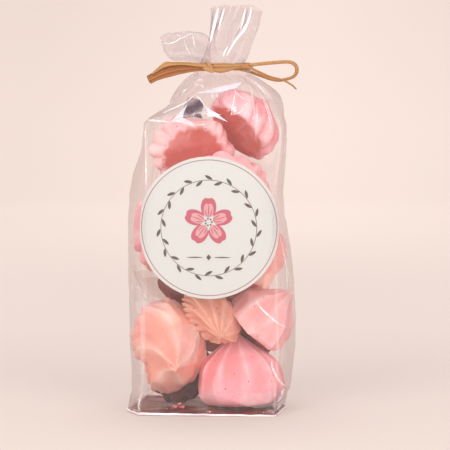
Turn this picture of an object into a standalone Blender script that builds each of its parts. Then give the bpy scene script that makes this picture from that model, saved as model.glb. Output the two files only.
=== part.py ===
"""Clear block-bottom gift bag of meringues, standing upright.

The bag is one solid out to its film: a flat creased base, four panels that the
contents push out, shoulders gathered into a pleated neck, and a ruffle of two
lobes above it.  A raffia tie is knotted round the neck and a round paper
sticker lies on the front panel.  +Z is up, the front faces -Y, and the origin
is the centre of the base on the ground.
"""
import math

import bmesh
import bpy
import numpy as np

MM = 0.001

# Driving sizes of the bag
BASE_FRONT = 68.0 * MM          # front panel at the base, crease to crease
BASE_DEPTH = 47.0 * MM
NECK_HEIGHT = 172.5 * MM        # middle of the tied neck
NECK_WIDTH = 27.0 * MM
NECK_DEPTH = 12.0 * MM
NECK_LEAN = 6.0 * MM            # the neck stands to the right of the base's centre
RUFFLE_HEIGHT = 201.0 * MM      # top of the ruffle
SEAM_HEIGHT = 1.6 * MM          # folded film along the foot of the bag
SEAM_PROUD = 0.7 * MM
GAP = 0.36 * MM                 # air between touching pieces
SMOOTH_ANGLE = math.radians(35.0)

# Sticker
STICKER_RADIUS = 35.0 * MM
STICKER_THICKNESS = 0.35 * MM
STICKER_X = 0.8 * MM
STICKER_Z = 94.4 * MM
STICKER_SPOKES = 48
STICKER_CIRCLES = 9

# Raffia
BAND_WIDTH = 4.2 * MM
BAND_THICKNESS = 1.2 * MM
BAND_SPOKES = 36
BAND_SIDES = 8
BAND_SQUARENESS = 0.6           # 1 is an oval section, 0 a square one
TAIL_THICKNESS = 1.1 * MM
LOOP_SIZE = (1.7 * MM, 1.2 * MM)
THIN_END_SIZE = (1.0 * MM, 0.9 * MM)

# Points round the bag: each panel runs from one crease to the next
FRONT_STEPS = 22
GUSSET_STEPS = 7
PANEL_STEPS = (FRONT_STEPS, GUSSET_STEPS, GUSSET_STEPS,
               FRONT_STEPS, GUSSET_STEPS, GUSSET_STEPS)
# Where the creases go when the film is gathered into a round neck (degrees)
CREASE_ANGLES = (230.0, 310.0, 360.0, 410.0, 490.0, 540.0, 590.0)
NECK_PLEATS = 10
RING_STEPS = sum(PANEL_STEPS)

NECK_PLEAT = 0.5                # mm

# Stations up the bag, in mm: height; how far the left crease stands in and the right
# one out from the base's; how far each side gusset bulges out; how much the half
# depth grows; the front panel's bulge; how round the section is (0 box, 1 gathered)
# and how soft its corners are.
STATIONS = (
    # z      left  right  out_l  out_r depth  bulge round soft
    (0.0,    0.0,   0.0,  5.4,   3.6,   0.0,  0.0,  0.0, 0.25),
    (4.0,    0.0,   0.3,  5.8,   5.2,   0.3,  0.3,  0.0, 0.25),
    (14.0,   0.0,   1.0,  7.2,   7.2,   1.0,  1.0,  0.0, 0.5),
    (32.0,   0.0,   2.5,  8.4,   8.2,   1.5,  1.6,  0.0, 0.9),
    (56.0,   0.0,   2.5,  8.8,   7.8,   1.7,  2.0,  0.0, 1.0),
    (80.0,   0.5,   2.0,  10.0,  5.4,   1.7,  2.2,  0.0, 1.0),
    (100.0,  1.2,   1.2,  10.2,  2.2,   1.7,  2.2,  0.0, 1.0),
    (116.0,  2.0,   1.8,  9.8,   1.8,   1.5,  2.0,  0.0, 0.9),
    (130.0,  2.8,   2.6,  5.0,   1.8,   0.9,  1.6,  0.0, 0.5),
    (141.0,  3.2,   2.8,  1.8,   1.6,  -0.1,  1.2,  0.0, 0.2),
    (145.6,  3.8,   2.8,  1.0,   1.4,  -1.1,  1.0,  0.05, 0.2),
    (148.6,  8.0,   3.0,  0.6,   1.0,  -2.1,  0.8,  0.2, 0.3),
    (152.2,  13.6,  3.4,  0.4,   0.6,  -3.9,  0.6,  0.4, 0.5),
    (156.6,  14.6,  2.6,  0.2,   0.4,  -6.9,  0.4,  0.6, 0.6),
    (160.4,  17.0,  0.0,  0.0,   0.0,  -9.9,  0.2,  0.8, 0.6),
    (164.2,  20.2, -4.8,  0.0,   0.0,  -13.1, 0.0,  0.95, 0.5),
    (167.8,  24.6, -12.2, 0.0,   0.0,  -17.1, 0.0,  1.0, 0.0),
)

# The neck and the ruffle above it, in mm: height; how far the section stands to the
# right of the neck; its width and depth over the neck's; pleat depth
RUFFLE = (
    (168.4, 0.0, 0.0, 0.0, NECK_PLEAT),
    (175.2, 0.0, 0.0, 0.0, NECK_PLEAT),
    (178.6, 2.5, -1.0, 2.0, 1.2),
    (183.0, 4.95, -2.1, 4.0, 2.0),
    (189.0, 6.0, -2.2, 5.6, 2.6),
    (195.0, 6.8, -2.0, 6.8, 3.0),
    (200.0, 7.25, -2.3, 7.6, 3.2),
)
MOUTH_DIP = 7.0 * MM            # the ruffle's open end sinks in this far


def clear_scene():
    """Remove whatever the scene holds."""
    for obj in list(bpy.data.objects):
        bpy.data.objects.remove(obj, do_unlink=True)


def material(name, colour, roughness):
    """A plain Principled material."""
    mat = bpy.data.materials.new(name)
    mat.use_nodes = True
    shader = mat.node_tree.nodes["Principled BSDF"]
    shader.inputs["Base Color"].default_value = (*colour, 1.0)
    shader.inputs["Roughness"].default_value = roughness
    mat.diffuse_color = (*colour, 1.0)
    return mat


def mesh_object(name, points, faces, mat):
    """An object from points and faces, its faces turned outwards."""
    mesh = bpy.data.meshes.new(name)
    mesh.from_pydata([tuple(p) for p in points], [], faces)
    work = bmesh.new()
    work.from_mesh(mesh)
    bmesh.ops.recalc_face_normals(work, faces=work.faces)
    bmesh.ops.triangulate(work, faces=work.faces)
    work.to_mesh(mesh)
    work.free()
    mesh.shade_smooth()
    mesh.set_sharp_from_angle(angle=SMOOTH_ANGLE)
    mesh.materials.append(mat)
    obj = bpy.data.objects.new(name, mesh)
    bpy.context.scene.collection.objects.link(obj)
    return obj


def hermite(table, height):
    """Every column of a table at one height, on a smooth curve through its rows."""
    rows = np.asarray(table)
    heights = rows[:, 0]
    k = int(np.clip(np.searchsorted(heights, height) - 1, 0, len(heights) - 2))
    step = heights[k + 1] - heights[k]
    t = (height - heights[k]) / step
    slopes = np.diff(rows, axis=0) / np.diff(heights)[:, None]

    def tangent(i):
        if i == 0 or i == len(heights) - 1:
            return slopes[min(i, len(slopes) - 1)]
        before, after = slopes[i - 1], slopes[i]
        mean = 0.5 * (before + after)
        return np.where(before * after > 0.0, mean, 0.0)

    start, end = rows[k], rows[k + 1]
    return ((2 * t**3 - 3 * t**2 + 1) * start + (t**3 - 2 * t**2 + t) * step * tangent(k)
            + (3 * t**2 - 2 * t**3) * end + (t**3 - t**2) * step * tangent(k + 1))


def ring_places():
    """For each point round the bag: its panel, how far along it, and its angle."""
    places = []
    for panel, steps in enumerate(PANEL_STEPS):
        for i in range(steps):
            share = i / steps
            turn = CREASE_ANGLES[panel] + share * (CREASE_ANGLES[panel + 1] - CREASE_ANGLES[panel])
            places.append((panel, share, math.radians(turn)))
    return places


def box_ring(left, right, out_left, out_right, depth, bulge):
    """A six-sided section: front, two half gussets, back, two half gussets."""
    corners = ((left, -depth), (right, -depth), (right + out_right, 0.0),
               (right, depth), (left, depth), (left - out_left, 0.0))
    bulges = (bulge, 0.4, 0.4, bulge, 0.4, 0.4)
    ring = []
    for panel, share, _ in ring_places():
        start = np.array(corners[panel])
        end = np.array(corners[(panel + 1) % len(corners)])
        along = end - start
        outward = np.array((along[1], -along[0])) / np.linalg.norm(along)
        ring.append(start + share * along + outward * bulges[panel] * 4 * share * (1 - share))
    return np.array(ring)


def round_ring(left, right, depth, pleat):
    """A gathered section: an ellipse with pleats."""
    centre, half = 0.5 * (left + right), 0.5 * (right - left)
    ring = []
    for _, _, angle in ring_places():
        wave = pleat * math.cos(NECK_PLEATS * angle)
        ring.append((centre + (half + wave) * math.cos(angle), (depth + wave) * math.sin(angle)))
    return np.array(ring)


def soften(ring, amount):
    """Round a section's corners by averaging each point with its neighbours."""
    for _ in range(5):
        near = 0.5 * (np.roll(ring, 1, axis=0) + np.roll(ring, -1, axis=0))
        ring = ring + amount * 0.6 * (near - ring)
    return ring


def body_ring(height):
    """The bag's section at a height in mm, below the tie."""
    _, inset, outset, out_l, out_r, deeper, bulge, gathered, soft = hermite(STATIONS, height)
    half_front, half_depth = 0.5 * BASE_FRONT / MM, 0.5 * BASE_DEPTH / MM
    left, right, depth = inset - half_front, outset + half_front, half_depth + deeper
    box = box_ring(left, right, out_l, out_r, depth, bulge)
    pleat = 0.5 * gathered**2 + 1.2 * gathered * (1 - gathered)
    mixed = (1 - gathered) * box + gathered * round_ring(left, right, depth, pleat)
    return soften(mixed, soft)


def bag_heights():
    """Section heights in mm, closer together where the outline turns."""
    seam = SEAM_HEIGHT / MM
    low = [seam + 0.5, 4.0, 8.0, 14.0, 22.0]
    middle = list(np.arange(32.0, 130.0, 10.9))
    shoulder = [130.0, 136.0, 140.0, 142.5, 144.0, 145.5, 147.0, 149.0, 151.0, 153.5,
                156.0, 158.5, 161.0, 163.5, 165.8, 167.8]
    return low + middle + shoulder


def ruffle_size(row):
    """Left, right, half the depth and pleat depth of a ruffle section, in mm."""
    _, shift, wider, deeper, pleat = row
    centre = NECK_LEAN / MM + shift
    half = 0.5 * (NECK_WIDTH / MM + wider)
    return centre - half, centre + half, 0.5 * (NECK_DEPTH / MM + deeper), pleat


def widened(ring, amount):
    """A section pushed outwards by a fixed amount."""
    ahead = np.roll(ring, -1, axis=0) - np.roll(ring, 1, axis=0)
    outward = np.stack((ahead[:, 1], -ahead[:, 0]), axis=1)
    return ring + amount * outward / np.linalg.norm(outward, axis=1, keepdims=True)


def bag_sections():
    """All sections of the bag from its base to the ruffle's mouth, in metres."""
    proud = SEAM_PROUD / MM
    sections = []
    for height in (0.0, SEAM_HEIGHT / MM):
        sections.append((height, widened(body_ring(height), proud)))
    for height in bag_heights():
        sections.append((height, body_ring(height)))
    for row in RUFFLE:
        sections.append((row[0], round_ring(*ruffle_size(row))))
    return [[(x * MM, y * MM, height * MM) for x, y in ring] for height, ring in sections]


def add_ruffle_top(sections):
    """Stagger the mouth's edge so that its folds end at different heights."""
    last = sections[-1]
    top = []
    for (x, y, z), (_, _, angle) in zip(last, ring_places()):
        top.append((x, y, z + (RUFFLE_HEIGHT - z) * math.cos(2.0 * angle)))
    sections[-1] = top


def loft(name, sections, mat, end_dip=0.0):
    """A closed body through the sections, its ends filled from a middle point.

    The last end's middle point sinks back along the body by end_dip.
    """
    count = len(sections[0])
    points = [p for section in sections for p in section]
    faces = []
    for r in range(len(sections) - 1):
        for i in range(count):
            j = (i + 1) % count
            a, b = r * count, (r + 1) * count
            faces.append((a + i, a + j, b + j, b + i))
    middles = [np.mean(np.array(section), axis=0) for section in sections]
    back = middles[-2] - middles[-1]
    back = back / np.linalg.norm(back)
    for middle, first in ((middles[0], 0),
                          (middles[-1] + back * end_dip, (len(sections) - 1) * count)):
        points.append(tuple(middle))
        hub = len(points) - 1
        for i in range(count):
            faces.append((hub, first + i, first + (i + 1) % count))
    return mesh_object(name, points, faces, mat)


def tube(name, route, widths, heights, mat, sides=10, pleats=0, pleat_share=0.0, dip=0.0):
    """A strand along a route, with an oval section, plain or pleated."""
    route = [np.array(p) * MM for p in route]
    sections = []
    for k, centre in enumerate(route):
        ahead = route[min(k + 1, len(route) - 1)] - route[max(k - 1, 0)]
        ahead = ahead / np.linalg.norm(ahead)
        flat = np.cross(ahead, (0.0, 1.0, 0.0))
        flat = flat / np.linalg.norm(flat)
        thick = np.cross(flat, ahead)
        ring = []
        for i in range(sides):
            turn = 2 * math.pi * i / sides
            fold = 1.0 + pleat_share * math.cos(pleats * turn) * k / (len(route) - 1)
            ring.append(tuple(centre + flat * 0.5 * MM * widths[k] * fold * math.cos(turn)
                              + thick * 0.5 * MM * heights[k] * fold * math.sin(turn)))
        sections.append(ring)
    return loft(name, sections, mat, end_dip=dip)


def strand(name, route, size, mat):
    """A thin strand of even width and thickness."""
    width, thickness = (length / MM for length in size)
    count = len(route)
    return tube(name, route, [width] * count, [thickness] * count, mat, sides=6)


def smooth_route(points, per_span=4):
    """A Catmull-Rom curve through the points."""
    pts = [np.array(p, dtype=float) for p in points]
    pts = [2 * pts[0] - pts[1]] + pts + [2 * pts[-1] - pts[-2]]
    route = []
    for k in range(1, len(pts) - 2):
        p0, p1, p2, p3 = pts[k - 1:k + 3]
        for i in range(per_span):
            t = i / per_span
            route.append(0.5 * (2 * p1 + (p2 - p0) * t + (2 * p0 - 5 * p1 + 4 * p2 - p3) * t**2
                                + (3 * p1 - p0 - 3 * p2 + p3) * t**3))
    route.append(pts[-2])
    return route


def union(target, others):
    """Join the others into the target as one solid, and remove them."""
    for other in others:
        join = target.modifiers.new("join", 'BOOLEAN')
        join.operation = 'UNION'
        join.use_self = True
        join.object = other
    bpy.context.view_layer.update()
    graph = bpy.context.evaluated_depsgraph_get()
    solid = bpy.data.meshes.new_from_object(target.evaluated_get(graph))
    target.modifiers.clear()
    target.data = solid
    solid.shade_smooth()
    solid.set_sharp_from_angle(angle=SMOOTH_ANGLE)
    for other in others:
        bpy.data.objects.remove(other, do_unlink=True)


def left_lobe(mat):
    """The ruffle's second lobe: a flattened fan that falls to the left."""
    route = smooth_route([(8.0, 0.0, 177.2), (1.0, 0.0, 179.0), (-6.0, -0.5, 180.6),
                          (-13.0, -1.0, 181.4), (-20.5, -1.5, 181.8)], per_span=3)
    count = len(route)
    widths = [6.0 + 7.0 * math.sin(0.5 * math.pi * k / (count - 1)) for k in range(count)]
    depths = [6.0 + 5.0 * k / (count - 1) for k in range(count)]
    return tube("left_lobe", route, widths, depths, mat, sides=36, pleats=6,
                pleat_share=0.16, dip=0.8 * MOUTH_DIP)


def make_bag():
    """The bag: base, panels, shoulders, neck and both lobes of the ruffle."""
    film = material("clear_film", (0.83, 0.76, 0.74), 0.15)
    sections = bag_sections()
    add_ruffle_top(sections)
    bag = loft("bag", sections, film, end_dip=MOUTH_DIP)
    union(bag, [left_lobe(film)])


def sticker_point(ring, along, offset):
    """The point a distance along the front of a section, pushed out by an offset."""
    front = ring[:FRONT_STEPS + 1 + GUSSET_STEPS]
    wrap = np.concatenate((ring[-GUSSET_STEPS:], front))
    lengths = np.concatenate(((0.0,), np.cumsum(np.linalg.norm(np.diff(wrap, axis=0), axis=1))))
    inside = slice(GUSSET_STEPS, GUSSET_STEPS + FRONT_STEPS + 1)
    zero = np.interp(STICKER_X / MM, wrap[inside, 0], lengths[inside])
    place = zero + along
    reach = 2.0
    x, y = (np.interp(place, lengths, wrap[:, c]) for c in (0, 1))
    x0, y0 = (np.interp(place - reach, lengths, wrap[:, c]) for c in (0, 1))
    x1, y1 = (np.interp(place + reach, lengths, wrap[:, c]) for c in (0, 1))
    outward = np.array((y1 - y0, x0 - x1))
    outward = outward / np.linalg.norm(outward)
    return x + offset * outward[0], y + offset * outward[1]


def make_sticker():
    """The round paper sticker, bent to the front panel and clear of it by a gap."""
    paper = material("sticker_paper", (0.88, 0.84, 0.79), 0.6)
    spokes, circles = STICKER_SPOKES, STICKER_CIRCLES
    points, faces = [], []
    for offset in (GAP / MM, (GAP + STICKER_THICKNESS) / MM):
        first = len(points)
        for c in range(circles + 1):
            radius = STICKER_RADIUS / MM * c / circles
            for s in range(spokes if c else 1):
                turn = 2 * math.pi * s / spokes
                height = STICKER_Z / MM + radius * math.sin(turn)
                x, y = sticker_point(body_ring(height), radius * math.cos(turn), offset)
                points.append((x * MM, y * MM, height * MM))
        for s in range(spokes):
            n = (s + 1) % spokes
            faces.append((first, first + 1 + s, first + 1 + n))
            for c in range(circles - 1):
                a, b = first + 1 + c * spokes, first + 1 + (c + 1) * spokes
                faces.append((a + s, b + s, b + n, a + n))
    layer = 1 + circles * spokes
    rim = 1 + (circles - 1) * spokes
    for s in range(spokes):
        n = (s + 1) % spokes
        faces.append((rim + s, rim + n, layer + rim + n, layer + rim + s))
    mesh_object("sticker", points, faces, paper)


def squared(value):
    """A cosine or sine flattened towards a square section."""
    return math.copysign(abs(value)**BAND_SQUARENESS, value)


def band(mat):
    """The raffia wound round the neck, clear of the pleats by a gap."""
    spokes, section_steps = BAND_SPOKES, BAND_SIDES
    left, right, depth, pleat = ruffle_size(RUFFLE[0])
    centre = 0.5 * (left + right)
    inner_x = 0.5 * (right - left) + pleat + GAP / MM
    inner_y = depth + pleat + GAP / MM
    thick, high = BAND_THICKNESS / MM, BAND_WIDTH / MM
    points, faces = [], []
    for s in range(spokes):
        turn = 2 * math.pi * s / spokes
        for k in range(section_steps):
            lap = 2 * math.pi * k / section_steps
            out = 0.5 * thick * (1 + squared(math.cos(lap)))
            up = 0.5 * high * squared(math.sin(lap))
            points.append(((centre + (inner_x + out) * math.cos(turn)) * MM,
                           (inner_y + out) * math.sin(turn) * MM, NECK_HEIGHT + up * MM))
    for s in range(spokes):
        n = (s + 1) % spokes
        for k in range(section_steps):
            m = (k + 1) % section_steps
            faces.append((s * section_steps + k, n * section_steps + k,
                          n * section_steps + m, s * section_steps + m))
    return mesh_object("raffia_tie", points, faces, mat)


def at_neck(points):
    """Points given by their height over the middle of the neck, in mm."""
    return [(x, y, z + NECK_HEIGHT / MM) for x, y, z in points]


def make_tie():
    """Band, knot, flat cut tail at the left, loop and thin end at the right."""
    raffia = material("raffia", (0.60, 0.34, 0.16), 0.7)
    tie = band(raffia)
    knot_route = at_neck([(-3.6, -7.8, -0.4), (-2.4, -8.0, -0.3), (-0.4, -8.3, -0.4),
                          (1.8, -8.6, -0.8), (3.0, -8.7, -1.1)])
    knot = tube("knot", knot_route, [2.4, 4.6, 5.4, 4.4, 2.2], [1.4, 3.0, 3.6, 3.0, 1.4],
                raffia, sides=12)
    flat_route = smooth_route(at_neck([
        (-0.6, -8.8, -0.1), (-6.0, -9.4, -0.1), (-12.0, -10.4, -0.7),
        (-19.0, -11.4, -1.4), (-25.0, -12.0, -3.4), (-29.4, -12.2, -5.8)]))
    count = len(flat_route)
    tail_widths = [3.2 + 2.4 * min(1.0, 1.6 * k / (count - 1)) for k in range(count)]
    flat_tail = tube("flat_tail", flat_route, tail_widths, [TAIL_THICKNESS / MM] * count, raffia,
                     sides=8)
    loop_route = smooth_route(at_neck([
        (0.6, -9.0, -0.6), (6.0, -9.6, -1.4), (12.0, -9.0, -0.4), (19.6, -7.2, 0.6),
        (31.0, -5.6, 1.8), (39.0, -4.8, 2.2), (43.0, -3.6, -0.2), (42.4, -1.8, -3.8),
        (38.2, 0.2, -6.0), (31.8, 4.6, -7.4), (25.6, 8.6, -6.2), (18.6, 9.8, -3.7),
        (11.0, 9.4, -1.6), (6.0, 8.0, -0.6)]), per_span=3)
    loop = strand("loop", loop_route, LOOP_SIZE, raffia)
    thin_route = smooth_route(at_neck([
        (14.0, -6.8, -0.6), (19.0, -8.0, -0.4), (24.0, -8.2, -2.8), (30.0, -7.6, -5.3),
        (36.0, -6.6, -7.0), (40.6, -5.8, -9.6), (43.0, -5.4, -11.6)]), per_span=3)
    thin_end = strand("thin_end", thin_route, THIN_END_SIZE, raffia)
    union(tie, [knot, flat_tail, loop, thin_end])


clear_scene()
make_bag()
make_sticker()
make_tie()
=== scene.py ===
"""Looks of the clear gift bag of meringues: film, contents, raffia, sticker, light and camera."""
import math

import bmesh
import bpy
import numpy as np
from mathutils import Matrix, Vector
from mathutils.bvhtree import BVHTree
from mathutils.geometry import delaunay_2d_cdt


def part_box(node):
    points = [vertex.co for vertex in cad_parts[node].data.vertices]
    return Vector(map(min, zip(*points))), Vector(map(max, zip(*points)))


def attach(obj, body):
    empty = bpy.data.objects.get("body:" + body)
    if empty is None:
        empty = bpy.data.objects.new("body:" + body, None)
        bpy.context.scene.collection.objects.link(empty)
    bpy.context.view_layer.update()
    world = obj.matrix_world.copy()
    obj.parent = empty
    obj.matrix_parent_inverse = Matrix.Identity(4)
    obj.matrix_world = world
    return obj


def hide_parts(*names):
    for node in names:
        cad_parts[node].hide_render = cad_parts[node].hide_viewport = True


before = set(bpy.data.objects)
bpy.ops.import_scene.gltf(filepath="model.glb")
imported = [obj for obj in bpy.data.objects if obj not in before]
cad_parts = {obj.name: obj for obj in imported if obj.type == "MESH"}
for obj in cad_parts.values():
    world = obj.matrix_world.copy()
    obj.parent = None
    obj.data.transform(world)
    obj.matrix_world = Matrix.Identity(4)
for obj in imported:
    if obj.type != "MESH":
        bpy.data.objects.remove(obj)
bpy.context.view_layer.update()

MM = 0.001
BODY = "root"

# Places read from the CAD frame, in mm
TIE_LOW, TIE_HIGH = (np.array(corner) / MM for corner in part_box("raffia_tie"))
STICKER_LOW, STICKER_HIGH = (np.array(corner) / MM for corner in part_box("sticker"))
LABEL_CENTRE = (0.8, 0.5 * (STICKER_LOW[2] + STICKER_HIGH[2]))
LABEL_RADIUS = 0.5 * (STICKER_HIGH[2] - STICKER_LOW[2])
NECK_HEIGHT = 172.5
NECK_LEAN = 6.0


# ---------------------------------------------------------------- helpers

def new_mesh_object(name, points, faces, material, smooth=True):
    """A mesh object in the frame; points in metres."""
    mesh = bpy.data.meshes.new(name)
    mesh.from_pydata(np.asarray(points, dtype=float).tolist(), [],
                     faces.tolist() if isinstance(faces, np.ndarray) else faces)
    if smooth:
        mesh.shade_smooth()
    mesh.materials.append(material)
    obj = bpy.data.objects.new(name, mesh)
    bpy.context.scene.collection.objects.link(obj)
    return obj


def grid_faces(rows, cols, wrap, first=0):
    """Quads of a grid of rows x cols points; wrap joins the last column to the first."""
    r, c = np.meshgrid(np.arange(rows - 1), np.arange(cols if wrap else cols - 1), indexing="ij")
    d = (c + 1) % cols
    quads = np.stack((r * cols + c, r * cols + d, (r + 1) * cols + d, (r + 1) * cols + c), axis=-1)
    return quads.reshape(-1, 4) + first


def put_attribute(obj, name, values):
    """A float attribute on the points."""
    attribute = obj.data.attributes.new(name, 'FLOAT', 'POINT')
    attribute.data.foreach_set("value", np.asarray(values, dtype=np.float32).ravel())


def put_uv(obj, uv):
    """A UV map from one pair of values for each point."""
    layer = obj.data.uv_layers.new(name="strand")
    for loop in obj.data.loops:
        layer.data[loop.index].uv = uv[loop.vertex_index]


def curve_through(points, count):
    """count points on a Catmull-Rom curve through the given ones, evenly in parameter."""
    pts = np.asarray(points, dtype=float)
    pts = np.vstack((2 * pts[0] - pts[1], pts, 2 * pts[-1] - pts[-2]))
    spans = len(pts) - 3
    places = np.linspace(0, spans, count)
    k = np.minimum(places.astype(int), spans - 1)
    t = (places - k)[:, None]
    p0, p1, p2, p3 = pts[k], pts[k + 1], pts[k + 2], pts[k + 3]
    return 0.5 * (2 * p1 + (p2 - p0) * t + (2 * p0 - 5 * p1 + 4 * p2 - p3) * t**2
                  + (3 * p1 - p0 - 3 * p2 + p3) * t**3)


def smoothstep(low, high, value):
    t = np.clip((np.asarray(value, dtype=float) - low) / (high - low), 0.0, 1.0)
    return t * t * (3 - 2 * t)


def waves(points, wavelength, rng, count=12):
    """Smooth uneven values, mostly within -1 to 1: plane waves of about one length added up."""
    total = np.zeros(points.shape[:-1])
    for _ in range(count):
        way = rng.normal(size=points.shape[-1])
        way *= 2 * math.pi / (wavelength * rng.uniform(0.7, 1.4) * np.linalg.norm(way))
        total += np.sin(points @ way + rng.uniform(0, 2 * math.pi))
    return total / math.sqrt(count)


def merge_points(obj, recalc=True):
    """Joins points that coincide and turns the faces outwards."""
    tidy = bmesh.new()
    tidy.from_mesh(obj.data)
    bmesh.ops.remove_doubles(tidy, verts=tidy.verts, dist=1e-6)
    if recalc:
        bmesh.ops.recalc_face_normals(tidy, faces=tidy.faces)
    tidy.to_mesh(obj.data)
    tidy.free()


class Tree:
    """Short-hand for building a material's nodes."""

    def __init__(self, name):
        self.material = bpy.data.materials.new(name)
        self.material.use_nodes = True
        self.nodes = self.material.node_tree.nodes
        self.links = self.material.node_tree.links
        self.nodes.clear()

    def add(self, kind, values=None, **settings):
        node = self.nodes.new(kind)
        for key, value in settings.items():
            setattr(node, key, value)
        for key, value in (values or {}).items():
            socket = node.inputs[key]
            if isinstance(value, bpy.types.NodeSocket):
                self.links.new(value, socket)
            else:
                socket.default_value = value
        return node

    def math(self, operation, a, b=0.0, c=0.0, clamp=False):
        node = self.add("ShaderNodeMath", {0: a, 1: b, 2: c}, operation=operation, use_clamp=clamp)
        return node.outputs[0]

    def ramp(self, value, low, high, to_low=0.0, to_high=1.0):
        node = self.add("ShaderNodeMapRange", {"Value": value, "From Min": low, "From Max": high,
                                               "To Min": to_low, "To Max": to_high})
        return node.outputs[0]

    def mix(self, factor, a, b, blend='MIX'):
        node = self.nodes.new("ShaderNodeMix")
        node.data_type = 'RGBA'
        node.blend_type = blend
        for key, value in ((0, factor), (6, a), (7, b)):
            if isinstance(value, bpy.types.NodeSocket):
                self.links.new(value, node.inputs[key])
            else:
                node.inputs[key].default_value = value
        return node.outputs[2]

    def mix_shader(self, factor, a, b):
        return self.add("ShaderNodeMixShader", {0: factor, 1: a, 2: b}).outputs[0]

    def noise(self, place, scale, detail=2.0, roughness=0.5):
        return self.add("ShaderNodeTexNoise", {"Vector": place, "Scale": scale, "Detail": detail,
                                               "Roughness": roughness}).outputs["Fac"]

    def bump(self, height, strength, distance):
        return self.add("ShaderNodeBump", {"Height": height, "Strength": strength,
                                           "Distance": distance}).outputs[0]

    def attribute(self, name):
        return self.add("ShaderNodeAttribute", attribute_name=name).outputs["Fac"]

    def place(self, scale=(1.0, 1.0, 1.0), kind="Object"):
        coords = self.add("ShaderNodeTexCoord").outputs[kind]
        return self.add("ShaderNodeMapping", {"Vector": coords, "Scale": scale}).outputs[0]

    def finish(self, shader):
        self.add("ShaderNodeOutputMaterial", {"Surface": shader})
        return self.material


def colour(r, g, b):
    """An sRGB colour of 0-255 as linear RGBA."""
    def linear(v):
        v = v / 255.0
        return v / 12.92 if v <= 0.04045 else ((v + 0.055) / 1.055) ** 2.4
    return (linear(r), linear(g), linear(b), 1.0)


# ---------------------------------------------------------------- materials

WHITE = (1.0, 1.0, 1.0, 1.0)
FILM_WHITE = (0.97, 0.93, 0.94, 1.0)


def film_material(name="clear_film", haze=0.025, whitening=0.35, mirror=0.06,
                  face_tint=(0.950, 0.915, 0.910, 1.0), edge_tint=(0.77, 0.705, 0.695, 1.0)):
    """Thin clear film: see-through, mirror gloss that grows towards grazing, whitened creases."""
    tree = Tree(name)
    place = tree.place()
    normal = tree.bump(tree.noise(place, 420.0), 0.18, 0.0001)
    facing = tree.add("ShaderNodeLayerWeight", {"Blend": 0.5, "Normal": normal}).outputs["Facing"]
    gloss_share = tree.math('MULTIPLY_ADD', tree.math('POWER', facing, 4.0), 0.55, mirror)
    tint = tree.mix(tree.math('POWER', facing, 1.7), face_tint, edge_tint)
    crease = tree.attribute("crease")
    clear = tree.add("ShaderNodeBsdfTransparent", {"Color": tint})
    gloss = tree.add("ShaderNodeBsdfAnisotropic", {
        "Color": WHITE, "Normal": normal,
        "Roughness": tree.math('MULTIPLY_ADD', crease, 0.25, 0.07)})
    milk = tree.add("ShaderNodeBsdfDiffuse", {"Color": FILM_WHITE})
    through = tree.add("ShaderNodeBsdfTranslucent", {"Color": FILM_WHITE})
    scatter = tree.mix_shader(0.35, milk.outputs[0], through.outputs[0])
    veil = tree.math('MULTIPLY_ADD', crease, whitening, haze, clamp=True)
    veiled = tree.mix_shader(veil, clear.outputs[0], scatter)
    return tree.finish(tree.mix_shader(gloss_share, veiled, gloss.outputs[0]))


def meringue_material(name, light, deep, base, blush):
    """Dry sugar crust: painted lighter on the ridges and darker in the grooves, tiny dark specks."""
    tree = Tree(name)
    place = tree.place()
    patches = tree.noise(place, 34.0)
    flush = tree.noise(tree.place((1.0, 1.0, 1.4)), 19.0, 1.0)
    grain = tree.noise(place, 1100.0, 3.0, 0.6)
    pits = tree.noise(place, 260.0)
    mottle = tree.noise(place, 120.0, 3.0, 0.6)
    ridge = tree.attribute("ridge")
    # Painted light on the ridges and painted shade in the grooves, over random patches of tone
    toned = tree.math('MULTIPLY_ADD', ridge, 0.65, tree.math('MULTIPLY', patches, 0.8))
    body = tree.mix(tree.ramp(toned, 0.35, 1.15), deep, light)
    body = tree.mix(tree.ramp(flush, 0.46, 0.66, 0.0, 0.85), body, blush)
    body = tree.mix(tree.ramp(mottle, 0.46, 0.62, 0.0, 0.30), body, deep)
    # Painted highlight: near-white along the crests
    painted_ridge_light = tree.math('MULTIPLY', tree.attribute("crest"), tree.ramp(patches, 0.35, 0.60, 0.3, 1.0))
    body = tree.mix(painted_ridge_light, body, colour(255, 238, 230))
    # The flat base's reddish tone: partly a baked colour, partly painted shade under the meringue
    baked_and_shaded_base = tree.mix(tree.ramp(tree.noise(place, 70.0), 0.45, 0.70, 0.0, 0.30), base, blush)
    fade = tree.math('ADD', tree.attribute("under"), tree.ramp(pits, 0.3, 0.7, -0.12, 0.12))
    under = tree.mix(tree.ramp(fade, 0.25, 0.85), body, baked_and_shaded_base)
    cells = tree.add("ShaderNodeTexVoronoi", {"Vector": place, "Scale": 700.0})
    dot = tree.ramp(cells.outputs["Distance"], 0.14, 0.30, 1.0, 0.0)
    chosen = tree.add("ShaderNodeSeparateColor", {"Color": cells.outputs["Color"]})
    few = tree.math('GREATER_THAN', chosen.outputs[0], 0.962)
    speck = tree.math('MULTIPLY', tree.math('MULTIPLY', dot, few), 0.85)
    tinted = tree.mix(speck, under, colour(112, 46, 54))
    relief = tree.math('MULTIPLY_ADD', mottle, 6.0, tree.math('MULTIPLY_ADD', pits, 1.6, grain))
    normal = tree.bump(relief, 0.40, 0.00022)
    shader = tree.add("ShaderNodeBsdfPrincipled", {
        "Base Color": tinted, "Roughness": 0.75, "Normal": normal,
        "Subsurface Weight": 0.15, "Subsurface Radius": (1.0, 0.42, 0.34),
        "Subsurface Scale": 0.0018, "Specular IOR Level": 0.15})
    return tree.finish(shader.outputs[0])


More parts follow.
